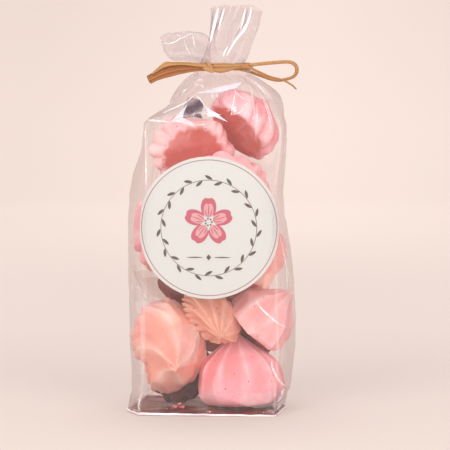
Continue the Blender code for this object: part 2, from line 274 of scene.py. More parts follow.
def crumb_material(name, light, deep):
    """Crumbs broken off the crust."""
    tree = Tree(name)
    place = tree.place()
    tone = tree.mix(tree.ramp(tree.noise(place, 700.0), 0.35, 0.65), deep, light)
    shader = tree.add("ShaderNodeBsdfPrincipled", {
        "Base Color": tone, "Roughness": 0.8,
        "Normal": tree.bump(tree.noise(place, 2200.0), 0.5, 0.0001)})
    return tree.finish(shader.outputs[0])


def raffia_material():
    """Dry palm fibre: long streaks from straw to brown along the strand."""
    tree = Tree("raffia_fibre")
    streaks = tree.noise(tree.place((45.0, 2600.0, 1.0), "UV"), 1.0, 4.0, 0.7)
    fine = tree.noise(tree.place((90.0, 6500.0, 1.0), "UV"), 1.0, 2.0)
    patches = tree.noise(tree.place((70.0, 260.0, 1.0), "UV"), 1.0)
    tone = tree.mix(tree.ramp(streaks, 0.34, 0.66), colour(150, 98, 50), colour(204, 168, 120))
    tone = tree.mix(tree.ramp(patches, 0.40, 0.66, 0.0, 0.7), tone, colour(186, 135, 86))
    tone = tree.mix(tree.ramp(fine, 0.56, 0.70, 0.0, 0.45), tone, colour(214, 190, 154))
    tone = tree.mix(tree.ramp(streaks, 0.28, 0.38, 0.75, 0.0), tone, colour(104, 62, 28))
    # Painted shade: the shade attribute darkens strands and sunken fibres
    tone = tree.mix(tree.attribute("shade"), tone, colour(176, 106, 46), 'MULTIPLY')
    height = tree.math('MULTIPLY_ADD', fine, 0.5, streaks)
    shader = tree.add("ShaderNodeBsdfPrincipled", {
        "Base Color": tone, "Roughness": 0.55, "Specular IOR Level": 0.35,
        "Normal": tree.bump(height, 0.7, 0.00025), "Subsurface Weight": 0.08,
        "Subsurface Radius": (1.0, 0.6, 0.3), "Subsurface Scale": 0.001})
    return tree.finish(shader.outputs[0])


def paper_material(name, pulp, shade):
    """Uncoated label paper with a faint tooth."""
    tree = Tree(name)
    place = tree.place()
    fibres = tree.noise(place, 900.0, 3.0, 0.6)
    cloud = tree.noise(place, 24.0, 1.0)
    tone = tree.mix(tree.math('MULTIPLY_ADD', fibres, 0.5, tree.math('MULTIPLY', cloud, 0.5)),
                    shade, pulp)
    shader = tree.add("ShaderNodeBsdfPrincipled", {
        "Base Color": tone, "Roughness": 0.65, "Specular IOR Level": 0.3,
        "Normal": tree.bump(fibres, 0.12, 0.00008)})
    return tree.finish(shader.outputs[0])


def backdrop_material():
    """Seamless pale peach paper that glows to look even, besides taking the lights; its glow
    has painted shade round the bag and up high, and a painted pool of light behind it.
    """
    tree = Tree("backdrop_paper")
    place = tree.place()
    split = tree.add("ShaderNodeSeparateXYZ", {0: place})
    paper = tree.mix(tree.noise(place, 1.2, 1.0), (0.40, 0.345, 0.32, 1.0),
                     (0.42, 0.362, 0.336, 1.0))
    matt = tree.add("ShaderNodeBsdfDiffuse", {"Color": paper})
    across = tree.math('ABSOLUTE', split.outputs["X"])
    away = tree.math('SQRT', tree.math('ADD', tree.math('POWER', across, 2.0),
                                       tree.math('POWER', split.outputs["Y"], 2.0)))
    floor = tree.ramp(away, 0.25, 1.05, FLOOR_GLOW, WALL_GLOW)
    # Painted contact shadow: less glow close round the bag
    near = tree.ramp(away, 0.06, 0.28, PAINTED_CONTACT_SHADOW, 0.0)
    # Painted shade: less glow higher up the wall
    painted_falloff = tree.ramp(split.outputs["Z"], 0.06, 1.0, 0.0, PAINTED_TOP_FALLOFF)
    # Painted pool of light: more glow on the wall behind the bag
    painted_light_pool = tree.math('MULTIPLY', tree.ramp(across, 0.05, 0.32, PAINTED_POOL_GAIN, 0.0),
                     tree.ramp(away, 0.5, 0.85))
    glow = tree.math('SUBTRACT', tree.math('SUBTRACT', floor, near), painted_falloff)
    glow = tree.math('ADD', glow, painted_light_pool)
    lit = tree.add("ShaderNodeEmission", {"Color": BACKDROP_COLOUR, "Strength": glow})
    shader = tree.add("ShaderNodeAddShader", {0: matt.outputs[0], 1: lit.outputs[0]})
    return tree.finish(shader.outputs[0])


# ---------------------------------------------------------------- meringues

# Profile of a piped kiss from the middle of its base to its tip: radius share, height share
KISS = ((0.0, 0.035), (0.30, 0.025), (0.60, 0.01), (0.81, 0.045), (0.94, 0.12), (1.0, 0.24),
        (0.975, 0.36), (0.89, 0.48), (0.75, 0.60), (0.56, 0.71), (0.36, 0.81), (0.20, 0.89),
        (0.10, 0.95), (0.045, 0.985), (0.0, 1.0))
KISS_FOOT = 0.60
KISS_BELLY = 0.24
KISS_ROWS = 80
KISS_COLUMNS = 220


def kiss_profile(foot, bulb):
    """Radius and height shares up a kiss; foot is the share of its flat base, bulb of its tip."""
    profile = curve_through(KISS, KISS_ROWS)
    radial, up = np.maximum(profile[:, 0], 0.0), np.maximum(profile[:, 1], 0.0)
    low = np.arange(KISS_ROWS) < KISS_ROWS * 5.0 / (len(KISS) - 1)
    rim = np.clip((radial - KISS_FOOT) / (1 - KISS_FOOT), 0, 1)
    wider = np.where(radial < KISS_FOOT, radial * foot / KISS_FOOT, foot + (1 - foot) * rim)
    knob = bulb * np.sqrt(np.clip(1 - ((up - 0.90) / 0.10)**2, 0, 1))
    return np.maximum(np.where(low, wider, radial), knob), up


def grooves(turns, count, pointed, vary, rng):
    """How deep a section is cut: round lobes with sharp grooves, or sharp ridges (pointed 1)."""
    part = turns - np.floor(turns)
    which = np.floor(turns).astype(int) % count
    deep = 1.0 + rng.uniform(-vary, vary, count)
    wave = np.sin(math.pi * part)
    facet = 4 * part * (1 - part)
    groove = deep[which] * (1 - part) + deep[(which + 1) % count] * part
    return (1 - pointed) * (1 - wave**0.8) * groove + pointed * facet * deep[which]


def at_bulb(share, bulb):
    """1 on a kiss's knobbed tip, 0 below it."""
    return smoothstep(0.76, 0.84, share) if bulb > 0 else np.zeros(share.shape)


def flattened(local, count, rng):
    """Points of a piece with flats pressed into its sides where it lay against others."""
    for _ in range(count):
        way = rng.normal(size=3) * (1.0, 1.0, 0.6)
        way /= np.linalg.norm(way)
        out = local @ way
        over = np.maximum(out - rng.uniform(0.84, 0.95) * out.max(), 0)
        local = local - (0.85 * over)[..., None] * way
    return local


def meringue(name, belly, axis, radius, height, material, side=(1, 0, 0), foot=KISS_FOOT,
             lobes=14, lobe_depth=0.08, pointed=0.0, edges=8, edge_depth=0.08, twist=0.5,
             spin=0.0, lean=(0, 0, 0), uneven=0.06, flats=9, bulb=0.0, painted_shade_rise=0.0,
             seed=1):
    """One piped meringue.

    belly is the centre of its widest section and axis points from base to tip; side is the
    direction that the first of its two radii is closest to; lean moves the tip.  Lengths in mm.
    The lobes go round the rim, and the fewer edges run on up to the tip.  dusk is the share of
    the height up to which the side has the base's tone, as painted shade on the fillers inside.
    """
    rng = np.random.default_rng(seed)
    radial, up = kiss_profile(foot, bulb)
    angle = np.linspace(0, 2 * math.pi, KISS_COLUMNS, endpoint=False)
    u, a = np.meshgrid(np.arange(KISS_ROWS), angle, indexing="ij")
    share, wide = up[u], radial[u]
    shift = sum(rng.uniform(0.04, 0.10) * np.sin(k * a + rng.uniform(0, 6.28)) for k in (1, 2, 3))
    turned = a + shift + twist * share**0.8
    clean = 1 - at_bulb(share, bulb)
    rim_cut = grooves(lobes * turned / (2 * math.pi), lobes, pointed, 0.45, rng)
    edge_cut = grooves(edges * (turned + 0.4) / (2 * math.pi), edges, 1.0, 0.5, rng)
    at_rim = smoothstep(0.45, 0.85, wide) * (1 - 0.85 * smoothstep(0.20, 0.55, share))
    at_top = smoothstep(0.12, 0.50, share) * clean
    cut = lobe_depth * at_rim * rim_cut + edge_depth * at_top * edge_cut
    ball = np.stack((wide * np.cos(a), wide * np.sin(a), 1.3 * share), axis=-1)
    rough = waves(ball, 1.3, rng) * uneven + waves(ball, 0.45, rng) * uneven * 0.34
    r = wide * (1 - cut) * (1 + rough)
    sway = smoothstep(0.30, 1.0, share) * share
    z = height * (share - KISS_BELLY + 0.5 * rough * smoothstep(0.1, 0.6, share))
    first, second = (radius, radius) if np.isscalar(radius) else radius
    up_way = np.array(axis, dtype=float) / np.linalg.norm(axis)
    second_way = np.cross(up_way, np.array(side, dtype=float))
    second_way /= np.linalg.norm(second_way)
    first_way = np.cross(second_way, up_way)
    local = np.stack((first * r * np.cos(a + spin), second * r * np.sin(a + spin), z), axis=-1)
    local = flattened(local, flats, rng)
    points = local @ np.array((first_way, second_way, up_way)) + np.array(belly)
    points = points + sway[..., None] * np.array(lean)
    obj = new_mesh_object(name, points.reshape(-1, 3) * MM,
                          grid_faces(KISS_ROWS, KISS_COLUMNS, True), material)
    # Painted light and shade: 1 on the ridges, less down in the grooves, for the crust's tone
    painted_ridge_light = np.clip(1 - (0.8 * at_rim * rim_cut + at_top * edge_cut), 0, 1)
    put_attribute(obj, "ridge", painted_ridge_light * smoothstep(0.5, 0.8, np.maximum(wide, share)))
    # Painted highlight along the crests of the edges and of pointed lobes
    put_attribute(obj, "crest", 0.24 * at_top * np.clip(1 - edge_cut, 0, 1)**14
                  + 0.22 * pointed * at_rim * np.clip(1 - rim_cut, 0, 1)**12)
    # The flat base, which takes the base tone: baked colour and painted shade
    under = (1 - smoothstep(foot - 0.16, foot + 0.12, wide)) * (share < 0.2)
    # Painted shade: the side takes the base's dark tone up to this share of the height
    if painted_shade_rise > 0:
        under = np.maximum(under, 1 - smoothstep(painted_shade_rise, painted_shade_rise + 0.18, share))
    put_attribute(obj, "under", under)
    merge_points(obj)
    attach(obj, BODY)
    return obj


def make_meringues():
    """The bag's contents: those at the front from the bottom up, then those behind them."""
    base = colour(216, 112, 102)
    # Each crust's light and deep tones give painted light on ridges and painted shade in grooves
    rose = meringue_material("meringue_rose", colour(250, 216, 222), colour(238, 152, 158), base,
                             colour(250, 180, 194))
    pale = meringue_material("meringue_pale", colour(252, 228, 228), colour(246, 176, 176), base,
                             colour(252, 198, 204))
    peach = meringue_material("meringue_peach", colour(252, 222, 210), colour(242, 170, 156),
                              base, colour(250, 182, 186))
    sand = meringue_material("meringue_sand", colour(246, 204, 184), colour(228, 158, 138), base,
                             colour(244, 186, 168))
    # Fillers deep in the bag: their dark base tone, spread up their sides, is painted shade
    filler_painted_shade = meringue_material("meringue_filler_painted_shade", colour(255, 218, 214), colour(242, 158, 152),
                               colour(146, 74, 68), colour(255, 190, 188))
    dark = meringue_material("meringue_filler_deep_painted_shade", colour(255, 220, 206), colour(242, 164, 150),
                             colour(86, 52, 48), colour(255, 194, 182))
    return [
        meringue("meringue_01", (-20.5, -5.0, 32.0), (0.17, -0.90, -0.40), (18.9, 28.0), 21,
                 peach, foot=0.72, lobes=19, lobe_depth=0.085, edges=5, edge_depth=0.13,
                 twist=1.3, spin=0.3, lean=(1.5, 0, -2), uneven=0.09, seed=11),
        meringue("meringue_02", (14.8, 0.5, 10.4), (-0.03, 0.06, 1.0), (25.4, 22.0), 36.5, rose,
                 lobes=12, lobe_depth=0.05, pointed=1.0, edges=12, edge_depth=0.06, twist=0.25,
                 spin=0.15, lean=(-0.5, 0, 0), uneven=0.03, seed=12),
        meringue("meringue_03", (1.6, -9.0, 48.5), (0.55, -0.82, 0.0), (11.5, 19.5), 19, sand,
                 side=(0.70, 0, 0.6), foot=0.90, lobes=24, lobe_depth=0.17, edges=9,
                 edge_depth=0.09, twist=0.1, lean=(-3.0, 0, -9.0), seed=13),
        meringue("meringue_04", (24.9, 0.5, 45.4), (0.74, -0.12, 0.66), (18.3, 18.5), 25, pale,
                 foot=0.94, lobes=12, lobe_depth=0.05, pointed=0.8, edges=8, edge_depth=0.09,
                 twist=0.5, lean=(2.0, 0, 2.0), seed=14),
        meringue("meringue_05", (20.5, -2.0, 81.5), (0.22, -0.42, -0.88), 18.2, 29, peach,
                 lobes=13, lobe_depth=0.08, edges=7, edge_depth=0.09, twist=0.8,
                 lean=(4.5, 0, 0), bulb=0.16, seed=15),
        meringue("meringue_06", (-19.6, -1.0, 91.5), (0.25, -0.95, 0.05), 22.2, 22, rose,
                 foot=0.8, lobes=13, lobe_depth=0.12, edges=8, flats=4, seed=16),
        meringue("meringue_07", (-9.0, -3.5, 129.8), (-0.15, 0.92, 0.33), 20.6, 26, pale,
                 foot=0.80, lobes=16, lobe_depth=0.11, edges=9, twist=0.4, uneven=0.07, seed=17),
        meringue("meringue_08", (16.6, 0.5, 143.6), (0.62, 0.48, 0.62), 20.8, 24, rose,
                 foot=0.84, lobes=12, lobe_depth=0.09, edges=7, edge_depth=0.04, twist=0.6,
                 uneven=0.05, flats=5, seed=18),
        meringue("meringue_09", (10.0, -10.0, 110.0), (-0.10, -0.97, -0.20), 22.5, 16, pale,
                 foot=0.8, lobes=15, lobe_depth=0.10, edges=8, seed=19),
        meringue("meringue_10", (-12.5, 11.0, 62.0), (-0.3, 0.85, 0.4), 15.5, 18, filler_painted_shade,
                 foot=0.9, painted_shade_rise=0.32, seed=20),
        meringue("meringue_11", (-15.5, 9.0, 18.0), (-0.3, 0.85, -0.3), 17.5, 18, dark,
                 foot=0.9, painted_shade_rise=0.38, seed=21),
        meringue("meringue_12", (-24.0, 8.0, 79.0), (-0.3, 0.9, 0.1), 13.8, 14, sand, foot=0.9,
                 flats=4, seed=22),
        meringue("meringue_13", (15.0, 11.0, 104.0), (0.1, 0.95, -0.1), 17.5, 17, rose, seed=23),
        meringue("meringue_14", (13.0, 10.5, 66.0), (0.1, 0.95, 0.2), 18.5, 17, rose, seed=24),
        meringue("meringue_15", (0.0, 10.5, 42.0), (0.05, 0.98, -0.2), 17.0, 16, filler_painted_shade,
                 foot=0.9, painted_shade_rise=0.35, seed=25),
        meringue("meringue_16", (-3.0, 11.0, 87.0), (0.0, 0.98, 0.1), 17.0, 16, rose, seed=26),
        meringue("meringue_17", (0.0, 12.0, 120.0), (0.0, 0.95, 0.3), 14.0, 14, peach, seed=27),
        meringue("meringue_18", (19.5, 12.5, 34.0), (0.3, 0.9, 0.2), 13.0, 13, filler_painted_shade,
                 foot=0.9, painted_shade_rise=0.35, seed=28),
    ]


# ---------------------------------------------------------------- the film

FILM_ROWS = 280
FINE_COLUMNS = 270      # round the front, and the gussets next to it
COARSE_COLUMNS = 70     # round the back
FINE_SHARE = 0.6
FILM_FOOT = 1.2 * MM
FILM_TOP = 174.5 * MM
UNROLLED = 235.0        # mm round the bag at its widest, the facets' own measure
FILM_CLEARANCE = 0.35
REACH_IN, REACH_OUT = 12.0, 8.0


def film_places():
    """Where the film's columns lie round the bag, 0 to 1 from the back, closer at the front."""
    side = 0.5 * (1 - FINE_SHARE)
    back = np.linspace(0, side, COARSE_COLUMNS // 2, endpoint=False)
    front = np.linspace(side, 1 - side, FINE_COLUMNS, endpoint=False)
    rest = np.linspace(1 - side, 1, COARSE_COLUMNS // 2, endpoint=False)
    return np.concatenate((back, front, rest))


def bag_surface(heights, places, rays=720):
    """The bag's outer surface as a grid, read from the CAD solid by rays from its middle."""
    tree = merged_tree([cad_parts["bag"]])
    grid = np.empty((len(heights), len(places), 3))
    middle = 0.0
    for r, z in enumerate(heights):
        right = tree.ray_cast(Vector((middle, 0, z)), Vector((1, 0, 0)))[0].x
        left = tree.ray_cast(Vector((middle, 0, z)), Vector((-1, 0, 0)))[0].x
        middle = 0.5 * (left + right)
        outline = np.empty((rays + 1, 2))
        for k in range(rays):
            turn = math.pi / 2 + 2 * math.pi * k / rays
            way = Vector((math.cos(turn), math.sin(turn), 0))
            hit = tree.ray_cast(Vector((middle, 0, z)), way)[0]
            outline[k] = hit.x, hit.y
        outline[rays] = outline[0]
        steps = np.linalg.norm(np.diff(outline, axis=0), axis=1)
        length = np.concatenate(((0.0,), np.cumsum(steps)))
        for axis in (0, 1):
            grid[r, :, axis] = np.interp(places * length[-1], length, outline[:, axis])
        grid[r, :, 2] = z
    return grid


def grid_normals(grid):
    """Unit normals of a grid of points wrapped round the bag, pointing out of it."""
    around = np.roll(grid, -1, axis=1) - np.roll(grid, 1, axis=1)
    normal = np.cross(around, np.gradient(grid, axis=0))
    return normal / np.maximum(np.linalg.norm(normal, axis=2, keepdims=True), 1e-12)


def spread(values):
    """Each value's mean with its four neighbours'."""
    padded = np.pad(values, ((1, 1), (0, 0)), mode="edge")
    sideways = np.roll(values, 1, axis=1) + np.roll(values, -1, axis=1)
    return 0.25 * (padded[:-2] + padded[2:] + sideways)


def facets(s, z, spacing, seed, wrap=UNROLLED, reach=(-10.0, 215.0)):
    """A crumpled height: flat facets between random points, from -1 to 1.

    s and z are the grid's unrolled coordinates in mm.
    """
    rng = np.random.default_rng(seed)
    nx = max(3, round(wrap / spacing))
    nz = round((reach[1] - reach[0]) / spacing)
    px, pz = np.meshgrid((np.arange(nx) + 0.5) * wrap / nx,
                         reach[0] + (np.arange(nz) + 0.5) * spacing)
    px = (px + rng.uniform(-0.48, 0.48, px.shape) * spacing).ravel()
    pz = (pz + rng.uniform(-0.48, 0.48, pz.shape) * spacing).ravel()
    tops = rng.uniform(-1, 1, px.shape)
    px = np.concatenate((px - wrap, px, px + wrap))
    pz, tops = np.tile(pz, 3), np.tile(tops, 3)
    near = (px > -2.5 * spacing) & (px < wrap + 2.5 * spacing)
    px, pz, tops = px[near], pz[near], tops[near]
    found = delaunay_2d_cdt([Vector(p) for p in zip(px, pz)], [], [], 0, 1e-6)
    verts, triangles, sources = np.array([tuple(v) for v in found[0]]), found[2], found[3]
    tops = np.array([tops[source[0]] for source in sources])
    height = np.zeros(s.shape)
    rows = z[:, 0]
    for a, b, c in triangles:
        (ax, az), (bx, bz), (cx, cz) = verts[a], verts[b], verts[c]
        area = (bx - ax) * (cz - az) - (cx - ax) * (bz - az)
        if abs(area) < 1e-9:
            continue
        low = np.searchsorted(rows, min(az, bz, cz))
        high = np.searchsorted(rows, max(az, bz, cz), side="right")
        cols = np.where((s[0] >= min(ax, bx, cx)) & (s[0] <= max(ax, bx, cx)))[0]
        if low >= high or not len(cols):
            continue
        box = np.ix_(np.arange(low, high), cols)
        ss, zz = s[box], z[box]
        wb = ((ss - ax) * (cz - az) - (cx - ax) * (zz - az)) / area
        wc = ((bx - ax) * (zz - az) - (ss - ax) * (bz - az)) / area
        inside = (1 - wb - wc >= -1e-9) & (wb >= -1e-9) & (wc >= -1e-9)
        new = (1 - wb - wc) * tops[a] + wb * tops[b] + wc * tops[c]
        height[box] = np.where(inside, new, height[box])
    return height


def folds(s, count, seed, wrap=UNROLLED):
    """A folded profile round the bag: straight runs between random creases."""
    rng = np.random.default_rng(seed)
    places = np.sort((np.arange(count) + rng.uniform(0.1, 0.9, count)) * wrap / count)
    tops = rng.uniform(0.3, 1.0, count) * np.where(np.arange(count) % 2, 1, -1)
    return np.interp(s, places, tops, period=wrap)


def crease_whitening(grid, gain):
    """How sharply the film turns at each point, 0 to 1."""
    normal = grid_normals(grid)
    turn = np.stack([spread(normal[..., axis]) - normal[..., axis] for axis in range(3)], axis=-1)
    return np.clip(np.linalg.norm(turn, axis=2) * gain - 0.06, 0, 1)


def merged_tree(pieces):
    """One search tree over several pieces' meshes."""
    points, polygons = [], []
    for piece in pieces:
        first = len(points)
        points.extend(v.co for v in piece.data.vertices)
        polygons.extend(tuple(first + i for i in face.vertices) for face in piece.data.polygons)
    return BVHTree.FromPolygons(points, polygons)


def contents_height(grid, tree):
    """How far in mm the contents stand over each of the grid's points, negative below it."""
    normal = grid_normals(grid)
    height = np.full(grid.shape[:2], -REACH_IN)
    for r in range(grid.shape[0]):
        for c in range(grid.shape[1]):
            start = Vector(grid[r, c] + normal[r, c] * REACH_OUT * MM)
            hit = tree.ray_cast(start, Vector(-normal[r, c]), (REACH_IN + REACH_OUT) * MM)
            if hit[0] is not None:
                height[r, c] = REACH_OUT - hit[3] / MM
    return height


def drape(stand, slack):
    """The film's height in mm, pulled taut between the meringues that hold it out."""
    floor = np.maximum(stand + FILM_CLEARANCE, -slack)
    pull = floor.copy()
    for _ in range(160):
        pull = np.maximum(spread(pull) - 0.004, floor)
    return pull


def corner_ridges(grid, places):
    """Sharp creases down the bag's four corners, in mm."""
    x, y, z = grid[..., 0], grid[..., 1], grid[..., 2] / MM
    centre = 0.5 * (x.max(axis=1, keepdims=True) + x.min(axis=1, keepdims=True))
    half_x = 0.5 * np.ptp(x, axis=1, keepdims=True)
    half_y = 0.5 * np.ptp(y, axis=1, keepdims=True)
    strength = smoothstep(0, 6, z) * (1 - smoothstep(142, 152, z))
    ridge = np.zeros(x.shape)
    for sx in (-1, 1):
        for sy in (-1, 1):
            along = 1.15 * sx * (x - centre) / half_x + sy * y / half_y
            peak = places[np.argmax(along, axis=1)]
            peak = np.convolve(np.pad(peak, 8, mode="edge"), np.ones(17) / 17, mode="valid")
            away = np.abs((places[None, :] - peak[:, None] + 0.5) % 1.0 - 0.5) * UNROLLED
            ridge += (1.2 if sy < 0 else 0.9) * np.maximum(1 - away / 2.0, 0) ** 1.5
    return ridge * strength


# Creased edge of the bag's bottom: corners and side folds, as points (x, y) in mm
FOOT = ((-34.4, -23.6), (33.6, -23.6), (37.8, 0.0), (33.6, 23.4), (-34.2, 23.4), (-41.0, -13.0))


def foot_outline(steps):
    """Points round the creased edge of the bottom, in mm."""
    corners = np.array(FOOT)
    share = np.linspace(0, 1, steps, endpoint=False)[:, None]
    return np.vstack([a + (b - a) * share for a, b in zip(corners, np.roll(corners, -1, axis=0))])


def square_foot(grid):
    """Brings the film's lowest rows out to the crisp creases of the bottom."""
    edge = foot_outline(60)
    turn = np.arctan2(edge[:, 1], edge[:, 0])
    order = np.argsort(turn)
    x, y = grid[..., 0] / MM, grid[..., 1] / MM
    wanted = np.interp(np.arctan2(y, x), turn[order], np.linalg.norm(edge, axis=1)[order],
                       period=2 * math.pi)
    share = 1 - smoothstep(1.5, 16.0, grid[..., 2] / MM)
    scale = 1 + share * (wanted / np.hypot(x, y) - 1)
    grid[..., 0] *= scale
    grid[..., 1] *= scale


def make_film(contents, material):
    """The clear film of the bag's body, from its foot to inside the tie."""
    places = film_places()
    grid = bag_surface(np.linspace(FILM_FOOT, FILM_TOP, FILM_ROWS), places)
    for _ in range(3):
        beside = np.roll(grid, 1, axis=1) + np.roll(grid, -1, axis=1)
        grid[..., :2] = 0.5 * grid[..., :2] + 0.25 * beside[..., :2]
    square_foot(grid)
    s = np.tile(places * UNROLLED, (FILM_ROWS, 1))
    z = grid[..., 2] / MM
    away = np.hypot(grid[..., 0] / MM - LABEL_CENTRE[0], z - LABEL_CENTRE[1])
    free = np.where(grid[..., 1] < 0, smoothstep(LABEL_RADIUS, LABEL_RADIUS + 6, away), 1.0)
    stand = contents_height(grid, merged_tree(contents))
    slack = 2.8 * smoothstep(2, 16, z) * (1 - smoothstep(120, 150, z)) * free
    slack *= 1 - 0.9 * smoothstep(0.45, 0.85, np.abs(grid_normals(grid)[..., 0]))
    pull = drape(stand, slack)
    shoulder = smoothstep(128, 148, z) * (1 - smoothstep(160, 169, z))
    foot = 1 - smoothstep(8, 26, z)
    calm = 1 - smoothstep(162, 169, z)
    push = calm * (0.60 * facets(s, z, 24.0, 5) + 0.30 * facets(s, z, 9.0, 6)
                   + 0.10 * facets(s, z, 4.5, 7))
    push += shoulder * (0.95 * facets(s, z, 13.0, 8) + 0.55 * facets(s, z, 6.0, 9)
                        + 0.20 * facets(s, z, 3.0, 14))
    push += foot * (0.35 * facets(s, z, 7.0, 10) + 0.20 * facets(s, z, 3.5, 11))
    right_corner = smoothstep(26, 34, grid[..., 0] / MM) * (1 - smoothstep(9, 16, z))
    push += right_corner * (0.7 * facets(s, z, 4.0, 15) + 0.4 * facets(s, z, 2.2, 16))
    gathered = smoothstep(152, 166, z) * (1 - 0.4 * smoothstep(166, 170, z))
    push += gathered * (0.50 * folds(s, 22, 12) + 0.20 * folds(s, 44, 13)
                        + 0.40 * facets(s, z, 5.0, 17) + 0.20 * facets(s, z, 2.6, 18))
    height = np.maximum(push * free + corner_ridges(grid, places) * free + pull, stand + 0.15)
    behind_label = (grid[..., 1] < 0) & (away < LABEL_RADIUS + 1)
    print("contents behind the label, at most", round(float(stand[behind_label].max()), 2), "mm")
    height = np.where(behind_label, np.minimum(height, 0.2), height)
    grid = grid + grid_normals(grid) * height[..., None] * MM
    film = new_mesh_object("film", grid.reshape(-1, 3),
                           grid_faces(FILM_ROWS, len(places), True), material)
    put_attribute(film, "crease", crease_whitening(grid, 4.5))
    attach(film, BODY)
    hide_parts("bag")
    return film


# ---------------------------------------------------------------- creases, folds and seam

# Whitened creases across the front, painted white also as their highlight, as points (x, z) in
# mm, with their widest width
CREASES = (
    (((23.8, 58.5), (26.2, 54.6), (31.7, 49.2), (38.6, 44.1)), 0.9),
    (((31.6, 28.0), (32.1, 24.6), (35.0, 18.6), (38.8, 12.4)), 1.0),
    (((-30.7, 146.2), (-29.2, 146.7), (-23.0, 146.4), (-17.6, 145.9)), 0.7),
    (((-22.0, 150.0), (-20.6, 150.9), (-11.6, 155.0), (-7.3, 158.7)), 0.7),
    (((13.5, 161.3), (12.4, 155.0), (11.4, 148.9)), 0.5),
    (((-30.7, 145.9), (-30.4, 129.8), (-30.1, 112.7)), 0.6),
    (((-32.3, 12.2), (-34.3, 5.6), (-33.7, 2.3)), 0.6),
    (((-38.6, 2.0), (-34.2, 2.2)), 0.6),
    (((-8.3, 146.2), (-4.0, 144.6), (1.0, 145.4)), 0.35),
    (((26.4, 158.0), (29.5, 150.0), (31.5, 141.0)), 0.4),
    (((35.0, 92.0), (38.5, 74.0), (39.0, 58.0)), 0.35),
    (((-9.5, 167.2), (-7.6, 168.6), (-5.6, 168.0)), 0.8),
    (((-6.6, 165.2), (-4.6, 166.2), (-3.0, 165.2)), 0.8),
    (((-11.8, 163.6), (-10.0, 165.4)), 0.8),
    (((-4.2, 163.6), (-2.6, 162.4)), 0.8),
    (((-13.5, 159.6), (-11.4, 161.8)), 0.8),
    (((21.6, 166.0), (26.4, 161.0), (30.0, 156.6)), 0.35),
    (((24.0, 155.0), (24.2, 148.0), (24.4, 139.0)), 0.3),
)

# Doubled film, its extra milky haze a painted sheen, as outlines (x, z) in mm
VEILS = (
    ((-14.6, 45.6), (-7.0, 46.5), (-3.4, 40.0), (-5.4, 27.0), (-14.8, 24.0)),
    ((14.9, 12.6), (22.0, 12.0), (31.0, 11.6), (33.0, 5.6), (24.0, 4.4), (16.0, 6.0)),
    ((33.8, 9.3), (37.7, 10.1), (39.6, 11.9), (37.2, 3.5), (34.3, 1.6), (33.8, 5.8)),
    ((-39.0, 74.0), (-36.0, 75.0), (-20.5, 55.0), (-25.0, 50.0), (-30.5, 52.0)),
)

# Painted shade: darker tinted film where the shaded inside of the bag shows through, as
# outlines (x, z) in mm
PAINTED_SHADE_PATCHES = (
    ((-37.0, 71.5), (-32.0, 73.0), (-24.0, 72.0), (-17.0, 62.0), (-20.5, 57.0), (-27.5, 55.5),
     (-31.5, 58.0)),
    ((-33.0, 69.0), (-22.0, 70.0), (-17.0, 62.0), (-22.0, 58.5), (-28.0, 60.0)),
)

# Painted highlights: pale streaks where the light runs along the film, as points (x, z), with
# their width
PAINTED_STREAKS = (
    (((-41.0, 71.8), (-40.2, 67.1), (-37.6, 61.0), (-35.0, 53.9), (-34.3, 50.6)), 2.2),
    (((-39.3, 72.0), (-36.8, 67.8), (-33.7, 63.3), (-29.2, 57.5)), 1.4),
    (((38.2, 76.4), (41.4, 60.3), (42.2, 45.2)), 1.0),
    (((17.4, 168.0), (21.0, 161.0), (23.4, 145.8), (23.8, 137.0)), 0.7),
    (((18.4, 169.0), (26.0, 163.0), (33.5, 153.4)), 0.8),
    (((20.0, 166.0), (28.5, 155.0), (32.5, 143.0)), 0.6),
    (((-10.0, 168.0), (-6.4, 168.6), (-3.5, 166.8)), 1.0),
    (((-8.8, 165.6), (-6.0, 163.6), (-3.0, 163.8)), 0.8),
    (((-12.0, 166.0), (-15.0, 162.0), (-16.5, 158.0)), 0.7),
    (((-20.0, 152.0), (-16.5, 157.6), (-12.6, 163.0)), 0.7),
    (((12.0, 162.0), (16.0, 158.0), (21.0, 156.4)), 0.5),
    (((-33.6, 60.0), (-33.0, 42.0), (-33.4, 20.0)), 0.7),
)

# Painted shadow: film tinted dark where a fold shows the shaded inside, as outlines (x, z) in mm
SHADOWS = (
    ((-12.6, 147.8), (-12.0, 153.0), (-10.2, 157.6), (-6.5, 157.2), (-3.4, 156.2),
     (-2.2, 153.6), (-3.4, 149.6), (-2.4, 147.6), (-7.0, 148.4)),
)

# Painted highlights where flat folds glint at the shoulder and the right corner: outlines (x, z)
GLINTS = (
    ((-17.7, 146.2), (-15.7, 146.0), (-5.6, 143.7), (-8.3, 146.2), (-12.0, 148.0),
     (-11.9, 150.1), (-10.2, 154.6)),
    ((-6.9, 159.1), (-3.7, 157.2), (-2.3, 154.9), (0.4, 152.3), (3.9, 150.6), (10.2, 145.9),
     (3.6, 148.5), (-0.2, 148.6), (0.0, 150.1), (-1.5, 153.6)),
    ((-7.3, 159.5), (-1.2, 161.1), (7.9, 163.5), (16.3, 165.2), (14.1, 162.5), (6.0, 160.2)),
    ((36.2, 11.6), (37.6, 12.2), (37.2, 8.6), (35.4, 6.6)),
    ((33.9, 2.2), (36.6, 2.6), (37.4, 5.4), (35.2, 5.6)),
    ((34.2, 6.6), (35.0, 6.4), (38.4, 10.6), (37.2, 11.2)),
)

